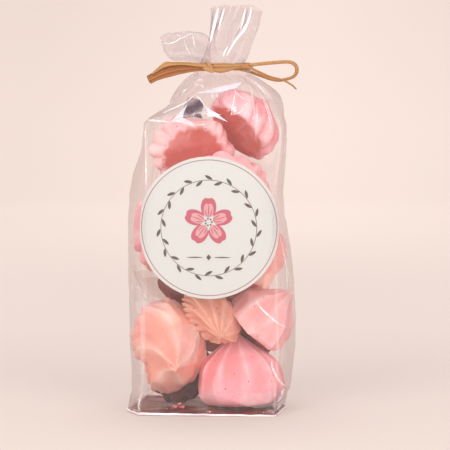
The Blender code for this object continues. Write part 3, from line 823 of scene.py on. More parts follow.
# Painted highlights: strips of light down the ruffle's folds, as points (x, z) in mm, with their
# widest width
RUFFLE_STRIPS = (
    (((4.5, 201.6), (3.5, 197.9), (2.6, 194.4), (1.7, 190.5), (0.7, 186.5), (0.3, 184.5)), 1.2),
    (((20.6, 202.0), (20.0, 197.9), (18.8, 194.4), (16.8, 190.4), (13.6, 186.5), (11.1, 182.5),
      (8.4, 178.0)), 1.0),
    (((17.8, 201.4), (17.0, 197.7), (16.4, 194.4), (15.1, 190.4)), 0.6),
    (((7.2, 201.4), (6.2, 197.9), (5.2, 194.4), (4.4, 190.4)), 0.7),
    (((9.1, 182.5), (7.6, 180.0), (6.6, 177.4)), 0.6),
)
# Painted shade: grey strips beside the ruffle's strips of light, as points (x, z) in mm, with their
# widest width
RUFFLE_SHADE_STRIPS = (
    (((6.2, 201.6), (5.2, 197.9), (4.0, 194.4), (2.8, 190.5), (1.9, 187.0)), 1.1),
    (((2.2, 201.4), (1.3, 197.0), (0.6, 192.0), (-0.2, 188.0)), 0.9),
    (((19.2, 201.6), (18.2, 197.9), (17.5, 194.4), (14.6, 190.4), (11.9, 186.0)), 0.9),
)
LOBE_STRIPS = (
    (((-23.6, 184.6), (-19.3, 184.0), (-14.5, 186.5), (-12.8, 187.0), (-8.8, 189.2)), 0.6),
    (((-8.8, 188.8), (-7.7, 184.0), (-6.7, 181.0)), 0.5),
    (((-13.0, 186.4), (-11.5, 182.0), (-9.5, 178.0)), 0.4),
)


def front_of(tree, x, z):
    """Where a ray straight at the front first meets a surface, in metres; x and z in mm."""
    return tree.ray_cast(Vector((x * MM, -0.2, z * MM)), Vector((0, 1, 0)))[0]


def front_patch(tree, outline, spacing, off):
    """Points and triangles of an outline laid on the front of the film, off it by some mm."""
    outline = np.array(outline)
    low, high = outline.min(axis=0), outline.max(axis=0)
    count = len(outline)
    border = []
    for start, end in zip(outline, np.roll(outline, -1, axis=0)):
        steps = max(1, int(np.linalg.norm(end - start) / spacing))
        border.extend(start + (end - start) * k / steps for k in range(steps))
    inner = [Vector((x, z)) for x in np.arange(low[0], high[0], spacing)
             for z in np.arange(low[1], high[1], spacing)]
    edges = [(k, (k + 1) % len(border)) for k in range(len(border))]
    flat = delaunay_2d_cdt([Vector(p) for p in border] + inner, edges, [], 1, 1e-5)
    points, keep = [], {}
    for index, spot in enumerate(flat[0]):
        hit = front_of(tree, spot.x, spot.y)
        if hit is not None:
            keep[index] = len(points)
            points.append((spot.x * MM, hit.y - off * MM, spot.y * MM))
    faces = [tuple(keep[i] for i in face) for face in flat[2] if all(i in keep for i in face)]
    return points, faces


def joined(name, parts, material, smooth=True):
    """One object from several (points, faces) parts."""
    points, faces = [], []
    for more_points, more_faces in parts:
        first = len(points)
        points.extend(more_points)
        faces.extend(tuple(first + i for i in face) for face in more_faces)
    obj = new_mesh_object(name, points, faces, material, smooth)
    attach(obj, BODY)
    return obj


def crease_strip(tree, route, width, off=0.12, count=40):
    """A tapered strip along a crease, laid on the film."""
    line = curve_through(route, count)
    along = np.gradient(line, axis=0)
    across = np.stack((-along[:, 1], along[:, 0]), axis=1)
    across /= np.linalg.norm(across, axis=1, keepdims=True)
    half = 0.5 * width * np.sin(np.linspace(0.12, math.pi - 0.12, count))
    flat = np.stack((line - across * half[:, None], line + across * half[:, None]), axis=1)
    flat = flat.reshape(-1, 2)
    hits = [front_of(tree, x, z) for x, z in flat]
    met = [k for k, hit in enumerate(hits) if hit is not None]
    depth = np.interp(np.arange(len(hits)), met, [hits[k].y for k in met]) - off * MM
    points = list(zip(flat[:, 0] * MM, depth, flat[:, 1] * MM))
    faces = [(2 * k, 2 * k + 1, 2 * k + 3, 2 * k + 2) for k in range(count - 1)]
    return points, faces


def crease_and_glint_material():
    """Film that a sharp fold has turned milky, painted whiter still as the crease's highlight."""
    tree = Tree("creased_film_painted_glint")
    broken = tree.noise(tree.place(), 500.0)
    clear = tree.add("ShaderNodeBsdfTransparent", {"Color": WHITE})
    # Painted highlight: white diffuse and gloss over the whitening of the crease
    milk = tree.add("ShaderNodeBsdfDiffuse", {"Color": WHITE})
    gloss = tree.add("ShaderNodeBsdfAnisotropic", {"Color": WHITE, "Roughness": 0.2})
    bright = tree.mix_shader(0.3, milk.outputs[0], gloss.outputs[0])
    share = tree.ramp(broken, 0.3, 0.65, 0.35, 0.85)
    return tree.finish(tree.mix_shader(share, clear.outputs[0], bright))


def glint_material():
    """Painted highlight: a mostly white, partly glossy patch where a flat fold glints."""
    tree = Tree("painted_glint_film")
    normal = tree.bump(tree.noise(tree.place(), 300.0), 0.1, 0.0001)
    clear = tree.add("ShaderNodeBsdfTransparent", {"Color": (0.90, 0.86, 0.90, 1.0)})
    gloss = tree.add("ShaderNodeBsdfAnisotropic", {"Color": (0.93, 0.90, 1.0, 1.0),
                                                   "Roughness": 0.12, "Normal": normal})
    # Painted highlight: near-white diffuse over most of the patch
    milk = tree.add("ShaderNodeBsdfDiffuse", {"Color": (0.95, 0.92, 1.0, 1.0)})
    bright = tree.mix_shader(0.55, gloss.outputs[0], milk.outputs[0])
    share = tree.ramp(tree.noise(tree.place(), 110.0), 0.30, 0.72, 0.95, 0.70)
    return tree.finish(tree.mix_shader(share, clear.outputs[0], bright))


def painted_shine_material():
    """Painted highlight: a white strip for the light caught along a fold of the ruffle."""
    tree = Tree("painted_fold_highlight")
    broken = tree.noise(tree.place((1.0, 1.0, 0.3)), 260.0)
    clear = tree.add("ShaderNodeBsdfTransparent", {"Color": WHITE})
    milk = tree.add("ShaderNodeBsdfDiffuse", {"Color": (1.0, 0.98, 1.0, 1.0)})
    through = tree.add("ShaderNodeBsdfTranslucent", {"Color": (1.0, 0.98, 1.0, 1.0)})
    bright = tree.add("ShaderNodeAddShader", {0: milk.outputs[0], 1: through.outputs[0]})
    share = tree.ramp(broken, 0.3, 0.6, 0.55, 0.95)
    return tree.finish(tree.mix_shader(share, clear.outputs[0], bright.outputs[0]))


def painted_shade_strip_material():
    """Painted shade: a grey strip for the turned side of a fold, next to its painted highlight."""
    tree = Tree("painted_fold_shade")
    clear = tree.add("ShaderNodeBsdfTransparent", {
        "Color": tree.mix(tree.noise(tree.place(), 200.0), (0.55, 0.54, 0.60, 1.0),
                          (0.82, 0.80, 0.84, 1.0))})
    gloss = tree.add("ShaderNodeBsdfAnisotropic", {"Color": WHITE, "Roughness": 0.15})
    return tree.finish(tree.mix_shader(0.08, clear.outputs[0], gloss.outputs[0]))


def seam_material():
    """Several layers of film welded along the foot: pale lilac, shiny and streaked."""
    tree = Tree("film_seam")
    streaks = tree.noise(tree.place((60.0, 60.0, 900.0)), 1.0, 2.0)
    tone = tree.mix(tree.ramp(streaks, 0.35, 0.65), colour(214, 186, 192), colour(255, 248, 252))
    shader = tree.add("ShaderNodeBsdfPrincipled", {"Base Color": tone, "Roughness": 0.18,
                                                   "Specular IOR Level": 0.7})
    return tree.finish(shader.outputs[0])


def shadow_material():
    """Painted shadow: film tinted dark in patches, standing for the bag's shaded inside."""
    tree = Tree("film_shadow")
    place = tree.place((1.0, 1.0, 0.5))
    # Painted shadow: dark and mid tints in patches
    tone = tree.mix(tree.ramp(tree.noise(place, 130.0), 0.38, 0.62), (0.22, 0.17, 0.22, 1.0),
                    (0.72, 0.66, 0.72, 1.0))
    clear = tree.add("ShaderNodeBsdfTransparent", {"Color": tone})
    gloss = tree.add("ShaderNodeBsdfAnisotropic", {"Color": WHITE, "Roughness": 0.15})
    return tree.finish(tree.mix_shader(0.12, clear.outputs[0], gloss.outputs[0]))


def painted_bottom_reflection_material():
    """The folded film of the bottom, in dark reds: painted reflection and painted shade."""
    tree = Tree("film_bottom_painted_reflection")
    place = tree.place()
    # Painted reflection and painted shade: the meringues' dark undersides seen in the bottom
    tone = tree.mix(tree.ramp(tree.noise(place, 60.0), 0.35, 0.65), colour(92, 26, 22),
                    colour(146, 66, 60))
    shader = tree.add("ShaderNodeBsdfPrincipled", {
        "Base Color": tone, "Roughness": 0.32, "Specular IOR Level": 0.35,
        "Normal": tree.bump(tree.noise(place, 160.0), 0.4, 0.0004)})
    return tree.finish(shader.outputs[0])


def make_creases(film):
    """Creases, doubled film, painted streaks, shade and shadow, and painted glints on the front."""
    tree = merged_tree([film])
    creases = joined("film_creases", [crease_strip(tree, route, width)
                                      for route, width in CREASES], crease_and_glint_material())
    # Doubled film: a real second layer, its raised haze painted sheen
    veil = film_material("doubled_film_painted_sheen", haze=0.11, mirror=0.07,
                         face_tint=(0.97, 0.945, 0.95, 1.0))
    veils = joined("film_veils", [front_patch(tree, outline, 1.2, 0.10) for outline in VEILS],
                   veil)
    # Painted highlight: pale, hazy strips along the film
    streaks = joined("film_painted_streaks", [crease_strip(tree, route, width, 0.11)
                                      for route, width in PAINTED_STREAKS],
                     film_material("painted_streak_film", haze=0.42, mirror=0.10,
                                   face_tint=(0.985, 0.97, 0.975, 1.0)))
    # Painted shade: darker tinted film patches
    painted_dark_film = joined("film_painted_dark", [front_patch(tree, outline, 1.2, off)
                                  for outline, off in zip(PAINTED_SHADE_PATCHES, (0.05, 0.07))],
                   film_material("shade_tinted_film", haze=0.02, mirror=0.02,
                                 face_tint=(0.90, 0.86, 0.84, 1.0)))
    shadows = joined("film_shadows", [front_patch(tree, outline, 1.0, 0.08)
                                      for outline in SHADOWS], shadow_material())
    glints = joined("film_glints", [front_patch(tree, outline, 1.0, 0.16)
                                    for outline in GLINTS], glint_material())


def make_foot(film_stuff):
    """The bag's bottom sheet, the welded seam round its foot and the ear at its left corner."""
    outline = foot_outline(36)
    count = len(outline)
    rng = np.random.default_rng(31)
    rings = []
    for share in (0.0, 0.25, 0.5, 0.72, 0.86, 0.94, 0.985):
        flat = outline * share
        lift = 0.9 + 0.25 * waves(flat, 9.0, rng)
        rings.append(np.column_stack((flat, lift)))
    # The bottom sheet, coloured with painted reflection and shade
    sheet = new_mesh_object("film_bottom_painted_reflection", np.array(rings).reshape(-1, 3) * MM,
                            grid_faces(len(rings), count, True), painted_bottom_reflection_material())
    merge_points(sheet)
    rise = 1.35 - 0.25 * outline[:, 0] / 34.0
    wobble = 0.10 * waves(outline, 7.0, rng)
    out = 1 + 0.25 / np.linalg.norm(outline, axis=1)
    profile = ((0.992, 0.25), (1.0, 0.12), (1.004, 0.5), (1.004, 0.85), (1.0, 1.0), (0.992, 0.9))
    bands = []
    for scale, height in profile:
        flat = outline * (out * scale)[:, None]
        bands.append(np.column_stack((flat, np.maximum((rise + wobble) * height, 0.05))))
    seam = new_mesh_object("film_seam", np.array(bands).reshape(-1, 3) * MM,
                           grid_faces(len(bands), count, True), seam_material())
    ear_points = np.array(((-33.2, -23.6, 12.5), (-36.4, -19.5, 7.2), (-39.4, -17.0, 3.0),
                           (-39.2, -17.4, 1.4), (-36.5, -20.5, 1.6), (-33.6, -24.2, 2.6),
                           (-33.4, -24.0, 7.5))) * MM
    ear = new_mesh_object("film_ear", ear_points, [tuple(range(len(ear_points)))], film_stuff)
    for piece in (sheet, seam, ear):
        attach(piece, BODY)


# ---------------------------------------------------------------- the ruffle

# Folds of the upright lobe, front ones left to right and then the back ones, in mm: where
# each leaves the neck, passes its middle and ends at the mouth
UPRIGHT_FOLDS = (
    ((-5.0, -1.0, 174.0), (-1.2, -0.5, 184.0), (0.4, 0.0, 201.4)),
    ((-2.5, -4.2, 174.0), (0.2, -3.4, 186.5), (2.0, -3.6, 202.2)),
    ((1.0, -5.6, 174.0), (1.2, -5.6, 186.0), (3.8, -5.6, 202.6)),
    ((3.0, -5.6, 174.0), (2.2, -3.2, 186.6), (7.2, -1.6, 203.2)),
    ((5.0, -5.8, 174.0), (3.6, -5.4, 186.6), (10.9, -5.2, 202.6)),
    ((7.3, -6.0, 174.4), (8.6, -4.4, 188.0), (14.6, -2.8, 203.0)),
    ((7.5, -6.2, 174.6), (13.9, -6.6, 190.6), (19.9, -6.6, 203.2)),
    ((9.4, -5.8, 174.4), (15.6, -3.8, 190.2), (21.6, -3.2, 202.8)),
    ((12.0, -5.8, 174.2), (18.4, -4.4, 188.5), (23.6, -3.4, 201.6)),
    ((15.5, -3.6, 174.2), (22.4, -1.6, 186.5), (26.2, -0.6, 199.9)),
    ((17.0, 0.5, 174.0), (22.0, 1.2, 187.0), (25.0, 1.2, 199.6)),
    ((13.5, 4.4, 174.0), (17.0, 4.6, 187.0), (19.0, 4.8, 201.0)),
    ((9.0, 5.8, 174.0), (11.0, 2.6, 187.5), (13.0, 2.2, 202.4)),
    ((5.0, 6.0, 174.0), (6.0, 5.6, 187.5), (8.0, 5.2, 202.0)),
    ((0.0, 4.6, 174.0), (2.2, 3.4, 187.0), (4.0, 3.4, 201.8)),
    ((-3.6, 2.0, 174.0), (-0.8, 1.4, 185.0), (1.0, 1.4, 201.2)),
)

# Outline of the lobe that falls to the left, from its root to its far end: (x, z) in mm
LOBE_UPPER = ((0.5, 184.0), (-2.4, 187.8), (-6.9, 189.4), (-12.0, 190.2), (-17.8, 189.9),
              (-21.8, 188.2), (-24.3, 185.6))
LOBE_LOWER = ((0.5, 173.0), (-4.0, 174.0), (-8.5, 174.6), (-13.0, 175.0), (-18.6, 175.4),
              (-21.8, 178.2), (-24.1, 185.0))


def crumpled(shape, material, name, seed, sizes):
    """A sheet of film with facets of several sizes (spacing, height) pushed out of it, in mm."""
    around = np.gradient(shape, axis=1)
    normal = np.cross(around, np.gradient(shape, axis=0))
    normal /= np.maximum(np.linalg.norm(normal, axis=2, keepdims=True), 1e-9)
    rows, columns = shape.shape[:2]
    along = np.tile(np.linspace(0, 60.0, columns), (rows, 1))
    up = np.tile(np.linspace(0, 30.0, rows)[:, None], (1, columns))
    push = sum(height * facets(along, up, spacing, seed + k, wrap=60.0, reach=(-8.0, 38.0))
               for k, (spacing, height) in enumerate(sizes))
    shape = shape + normal * push[..., None]
    obj = new_mesh_object(name, shape.reshape(-1, 3) * MM, grid_faces(rows, columns, False),
                          material)
    around = np.gradient(shape, axis=1)
    normal = np.cross(around, np.gradient(shape, axis=0))
    normal /= np.maximum(np.linalg.norm(normal, axis=2, keepdims=True), 1e-9)
    bend = np.linalg.norm(np.gradient(normal, axis=1), axis=2)
    bend += np.linalg.norm(np.gradient(normal, axis=0), axis=2)
    put_attribute(obj, "crease", np.clip(bend * 1.4 - 0.12, 0, 1))
    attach(obj, BODY)
    return obj


def make_ruffle(material):
    """Both lobes of the ruffle above the tie."""
    rows, per_fold = 90, 14
    rails = [curve_through(fold, rows) for fold in UPRIGHT_FOLDS]
    rails.append(rails[0])
    columns = []
    for left, right in zip(rails, rails[1:]):
        columns.extend(left + (right - left) * k / per_fold for k in range(per_fold))
    columns.append(rails[0])
    upright = np.stack(columns, axis=1)
    tall = crumpled(upright, material, "film_ruffle", 41, ((11.0, 0.45), (4.5, 0.28)))
    count, turns = 110, 120
    upper, lower = curve_through(LOBE_UPPER, count), curve_through(LOBE_LOWER, count)
    middle, half = 0.5 * (upper + lower), 0.5 * (upper - lower)
    thick = 4.2 * (1 - np.linspace(0, 1, count)**2 * 0.75)
    turn = np.linspace(0, 2 * math.pi, turns)
    flat = np.sign(np.cos(turn)) * np.abs(np.cos(turn))**0.75
    x = middle[:, 0, None] + half[:, 0, None] * flat
    z = middle[:, 1, None] + half[:, 1, None] * flat
    y = -1.0 + thick[:, None] * np.sin(turn) * (1 + 0.35 * np.cos(3 * turn))
    lobe = np.stack((x, y, z), axis=-1)
    fallen = crumpled(lobe, material, "film_lobe", 51, ((11.0, 0.9), (5.0, 0.6), (2.6, 0.25)))
    tree = merged_tree([tall])
    shine = joined("ruffle_glints", [crease_strip(tree, route, width, 0.20)
                                     for route, width in RUFFLE_STRIPS], painted_shine_material())
    shade_strips = joined("ruffle_shade_strips", [crease_strip(tree, route, width, 0.14)
                                  for route, width in RUFFLE_SHADE_STRIPS], painted_shade_strip_material())
    lines = joined("lobe_creases", [crease_strip(merged_tree([fallen]), route, width, 0.15)
                                    for route, width in LOBE_STRIPS], crease_and_glint_material())


# ---------------------------------------------------------------- crumbs

# Crumbs: middle (x, y, z) in mm, size, how many, how far they scatter, and which colour
CRUMBS = (
    ((-15.6, -12.0, 2.4), 1.5, 8, (2.6, 1.6), "pink"),
    ((-14.8, -11.5, 3.9), 1.3, 3, (0.8, 0.6), "pink"),
    ((-19.5, -13.0, 2.0), 0.7, 3, (2.5, 2.0), "pink"),
    ((0.4, -21.5, 1.9), 0.9, 3, (0.9, 0.4), "cream"),
    ((27.8, -20.5, 1.8), 0.8, 3, (1.6, 0.6), "cream"),
    ((10.0, 17.0, 1.6), 0.7, 6, (12.0, 3.0), "pink"),
)


def make_crumbs():
    """Crumbs on the bag's bottom sheet."""
    stuff = {"pink": crumb_material("crumb_pink", colour(246, 150, 148), colour(214, 96, 104)),
             "cream": crumb_material("crumb_cream", colour(255, 222, 200), colour(240, 180, 150))}
    rng = np.random.default_rng(61)
    parts = {"pink": [], "cream": []}
    for middle, size, count, (spread_x, spread_y), tone in CRUMBS:
        for _ in range(count):
            lump = bmesh.new()
            bmesh.ops.create_icosphere(lump, subdivisions=2, radius=1.0)
            shape = np.array([v.co for v in lump.verts])
            lump.verts.index_update()
            faces = [tuple(v.index for v in face.verts) for face in lump.faces]
            lump.free()
            shape *= (1 + 0.30 * waves(shape, 1.4, rng) + 0.12 * waves(shape, 0.6, rng))[:, None]
            own = size * rng.uniform(0.45, 1.0)
            shape *= 0.5 * own * rng.uniform(0.7, 1.2, 3)
            shift = rng.uniform(-1, 1, 2) * (spread_x, spread_y)
            shape += np.array(middle) + np.append(shift, 0.0)
            parts[tone].append((shape * MM, faces))
    for tone, pieces in parts.items():
        joined("crumbs_" + tone, pieces, stuff[tone])


# ---------------------------------------------------------------- raffia

def ribbon(route, widths, thickness, facing, fold=0.0, dark=0.0, seed=1, steps=90, fibres=13):
    """Points, faces, strand UVs and shade of one flat strand of raffia, in mm.

    facing gives the direction of its flat side at each end; fold bends it along its middle,
    and dark is how much painted shade darkens it.
    """
    rng = np.random.default_rng(seed)
    line = curve_through(route, steps)
    share = np.linspace(0, 1, steps)
    width = np.interp(share, np.linspace(0, 1, len(widths)), widths)
    width *= 1 + 0.06 * np.sin(rng.uniform(8, 14) * share + rng.uniform(0, 6))
    tangent = np.gradient(line, axis=0)
    tangent /= np.linalg.norm(tangent, axis=1, keepdims=True)
    flat = np.stack([np.interp(share, (0, 1), (facing[0][k], facing[1][k])) for k in range(3)],
                    axis=1)
    flat -= (flat * tangent).sum(axis=1, keepdims=True) * tangent
    flat /= np.linalg.norm(flat, axis=1, keepdims=True)
    across = np.cross(tangent, flat)
    place = np.linspace(-1, 1, fibres)
    ridges = rng.uniform(-1, 1, (2, fibres))
    drift = 0.5 * np.sin(share[:, None] * rng.uniform(5, 16, (1, fibres))
                         + rng.uniform(0, 6, (1, fibres)))
    ends = 0.35 * rng.uniform(-1, 1, (2, fibres))
    points, uv, shade = [], [], []
    travelled = np.concatenate(((0.0,), np.cumsum(np.linalg.norm(np.diff(line, axis=0), axis=1))))
    for layer, side in ((0, 1.0), (1, -1.0)):
        order = range(fibres) if side > 0 else range(fibres - 1, -1, -1)
        for k in order:
            round_off = math.sqrt(max(0.0, 1 - 0.9 * place[k]**4))
            rise = side * 0.5 * thickness * round_off + 0.10 * thickness * (
                ridges[layer, k] + drift[:, k])
            rise = rise - fold * width * 0.5 * abs(place[k])
            row = line + across * (0.5 * width * place[k])[:, None] + flat * rise[:, None]
            row[0] -= tangent[0] * ends[0, k]
            row[-1] += tangent[-1] * ends[1, k]
            points.append(row)
            uv.append(np.column_stack((travelled * MM, np.full(steps, place[k] * 0.004))))
            # Painted shade: the strand's dark share, and more on sunken fibres
            shade.append(np.full(steps, min(1.0, dark + 0.3 * (ridges[layer, k] < -0.2))))
    loop = len(points)
    points = np.stack(points, axis=1).reshape(-1, 3)
    faces = [tuple(face) for face in grid_faces(steps, loop, True)[:, ::-1].tolist()]
    faces.append(tuple(range(loop)))
    faces.append(tuple((steps - 1) * loop + k for k in range(loop - 1, -1, -1)))
    uv = np.stack(uv, axis=1).reshape(-1, 2)
    return points * MM, faces, uv, np.stack(shade, axis=1).ravel()


def raffia_piece(name, strands, material):
    """One piece from several strands, each the values of a call to ribbon."""
    made = [ribbon(**strand) for strand in strands]
    piece = joined(name, [(points, faces) for points, faces, _, _ in made], material)
    put_uv(piece, np.vstack([uv for _, _, uv, _ in made]))
    put_attribute(piece, "shade", np.concatenate([shade for _, _, _, shade in made]))
    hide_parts("raffia_tie")
    return piece


def at_neck(*points):
    """Route points given by their height over the middle of the neck."""
    return [(x, y, z + NECK_HEIGHT) for x, y, z in points]


def make_raffia():
    """The tie: band round the neck, knot, folded tail at the left, loop and thin end."""
    stuff = raffia_material()
    front, tilted = (0.0, -1.0, 0.1), (0.1, -0.75, 0.65)
    band = []
    for k, (lift, size, spin) in enumerate(((0.6, 1.7, 0.0), (-0.6, 1.8, 2.0), (0.1, 1.6, 4.0))):
        turns = np.linspace(spin, spin + 2 * math.pi, 25)
        out = 1.15 + 0.28 * k
        route = [(NECK_LEAN + (13.5 + out) * math.cos(t), (6.0 + out) * math.sin(t),
                  NECK_HEIGHT + lift + 0.35 * math.sin(3 * t + k)) for t in turns]
        band.append((route, size))
    hoops = []
    for k, (route, size) in enumerate(band):
        halves = (route[:9], route[8:17], route[16:])
        for half in halves:
            out_start = np.array(half[0]) - (NECK_LEAN, 0, half[0][2])
            out_end = np.array(half[-1]) - (NECK_LEAN, 0, half[-1][2])
            hoops.append(dict(route=half, widths=(size, size), thickness=0.45,
                              facing=(tuple(out_start), tuple(out_end)), seed=70 + k, steps=40,
                              fibres=9))
    raffia_piece("raffia_band", hoops, stuff)
    raffia_piece("raffia_tail", [
        dict(route=at_neck((1.0, -8.6, -0.6), (-5.0, -9.6, -0.5), (-12.0, -10.8, -0.9),
                           (-19.0, -11.6, -1.9), (-25.4, -12.0, -4.1), (-29.8, -12.2, -6.4)),
             widths=(2.4, 3.2, 4.6, 5.4, 5.0, 4.7), thickness=0.5, facing=(front, front),
             fold=0.10, dark=0.5, seed=81, fibres=21),
        dict(route=at_neck((0.5, -9.2, 0.5), (-5.5, -10.3, 1.3), (-12.0, -11.4, 1.9),
                           (-18.0, -12.2, 1.8), (-21.2, -12.6, 1.6), (-24.6, -12.8, -0.6),
                           (-28.4, -12.9, -3.6)),
             widths=(1.4, 2.2, 2.2, 2.4, 3.0, 2.0, 0.8), thickness=0.6,
             facing=(tilted, tilted), fold=0.3, seed=82, fibres=13)], stuff)
    raffia_piece("raffia_knot", [
        dict(route=at_neck((-3.8, -8.4, 1.2), (-2.2, -9.8, -0.2), (-0.4, -10.6, -1.0),
                           (1.8, -10.4, -1.5), (3.6, -9.0, -1.4)),
             widths=(1.6, 2.5, 2.8, 2.4, 1.6), thickness=0.8, facing=(front, front), fold=0.15,
             seed=83),
        dict(route=at_neck((-1.6, -8.2, 2.3), (-0.4, -9.9, 1.4), (0.8, -10.7, -0.2),
                           (1.2, -9.9, -1.9), (1.0, -8.0, -2.6)),
             widths=(1.4, 2.0, 2.2, 1.9, 1.4), thickness=0.6, facing=(front, front), fold=0.12,
             seed=84)], stuff)
    raffia_piece("raffia_loop", [
        dict(route=at_neck((0.8, -9.4, -1.0), (5.5, -9.8, -1.2), (12.0, -9.2, -0.1),
                           (19.6, -7.6, 0.9)),
             widths=(2.0, 3.8, 2.6, 1.2), thickness=0.9, facing=(front, front), fold=0.12,
             seed=85, fibres=17),
        dict(route=at_neck((2.0, -9.9, 0.6), (8.0, -9.8, 0.6), (14.0, -8.9, 0.8),
                           (20.0, -7.5, 1.0)),
             widths=(1.4, 1.8, 1.6, 1.2), thickness=0.7, facing=(tilted, tilted), seed=86,
             fibres=9),
        dict(route=at_neck((17.0, -8.0, 0.6), (19.6, -7.2, 0.9), (31.0, -5.6, 2.0),
                           (39.0, -4.8, 2.4), (42.4, -4.0, 0.9), (43.2, -2.9, -2.2),
                           (41.4, -1.0, -5.0), (36.6, 1.4, -6.6), (31.8, 4.6, -6.8),
                           (25.6, 8.2, -5.0), (18.6, 9.4, -2.6), (11.0, 9.0, -0.9),
                           (6.0, 8.0, -0.2)),
             widths=(1.9, 1.8, 1.7, 1.6, 1.8, 1.9, 1.6, 1.6, 1.5, 1.5, 1.5, 1.5, 1.5),
             thickness=0.9, facing=(front, front), fold=0.2, seed=87, steps=170, fibres=9)],
                 stuff)
    raffia_piece("raffia_end", [
        dict(route=at_neck((13.0, -8.4, 0.0), (19.0, -8.4, -0.2), (24.0, -8.2, -2.2),
                           (30.0, -7.6, -4.8), (36.0, -6.6, -6.4), (40.6, -5.8, -8.8),
                           (43.0, -5.4, -11.0)),
             widths=(1.2, 1.2, 1.1, 1.0, 1.0, 0.9, 0.7), thickness=0.7, facing=(front, front),
             seed=88, steps=110, fibres=9)], stuff)


# ---------------------------------------------------------------- the sticker's print

PRINT_LIFT = 0.05
RING_RADIUS = 33.3
WREATH_RADIUS = 23.5
WREATH_LEAVES = 30
PETALS = 5


def leaf(centre, way, length, width, steps=10):
    """Outline of a pointed leaf on the label, in mm from the label's centre."""
    way = np.array(way) / np.linalg.norm(way)
    side = np.array((-way[1], way[0]))
    share = np.linspace(0, 1, steps)
    bulge = 0.5 * width * np.sin(math.pi * share)**0.8
    there = [np.array(centre) + way * length * (t - 0.5) + side * b for t, b in zip(share, bulge)]
    back = [np.array(centre) + way * length * (t - 0.5) - side * b
            for t, b in zip(share[-2:0:-1], bulge[-2:0:-1])]
    return np.array(there + back)


def petal(turn, reach, width, start=2.0, steps=20):
    """Outline of a blossom's petal with a notched end."""
    share = np.linspace(0, 1, steps)
    out = start + (reach - start) * np.sin(0.5 * math.pi * np.minimum(share * 2, 2 - share * 2))
    spread_out = 0.5 * width * np.sin(math.pi * share) * np.sign(share - 0.5)
    sideways = -0.5 * width * np.cos(math.pi * share) * np.sin(math.pi * share)**0.35
    notch = 0.9 * np.exp(-((share - 0.5) / 0.07)**2)
    along = out - notch + 0 * spread_out
    c, s = math.cos(turn), math.sin(turn)
    return np.column_stack((along * c - sideways * s, along * s + sideways * c))


def ring_band(radius, width, steps=240):
    """A thin ring as quads."""
    turns = np.linspace(0, 2 * math.pi, steps, endpoint=False)
    inner = np.column_stack((np.cos(turns), np.sin(turns))) * (radius - 0.5 * width)
    outer = np.column_stack((np.cos(turns), np.sin(turns))) * (radius + 0.5 * width)
    flat = np.stack((inner, outer), axis=0).reshape(-1, 2)
    return flat, grid_faces(2, steps, True).tolist()


def printed(name, shapes, material, tree, lift=PRINT_LIFT):
    """Ink shapes laid on the sticker: each is (flat points, faces) in mm from its centre."""
    parts = []
    for flat, faces in shapes:
        points = []
        for x, z in flat:
            hit = front_of(tree, LABEL_CENTRE[0] + x, LABEL_CENTRE[1] + z)
            points.append((hit.x, hit.y - lift * MM, hit.z))
        parts.append((points, faces))
    obj = joined(name, parts, material)
    return obj


def fan(outline):
    """A filled outline: triangles from its middle, in two rings so that it can bend."""
    outline = np.asarray(outline)
    count = len(outline)
    middle = outline.mean(axis=0)
    flat = np.vstack((outline, middle + 0.5 * (outline - middle), middle[None, :]))
    faces = [(k, (k + 1) % count, count + (k + 1) % count, count + k) for k in range(count)]
    faces += [(count + k, count + (k + 1) % count, 2 * count) for k in range(count)]
    return flat, faces


def line(start, end, width):
    """A straight stroke with pointed ends."""
    way = np.array(end) - np.array(start)
    return leaf(0.5 * (np.array(start) + np.array(end)), way, np.linalg.norm(way), width, 14)


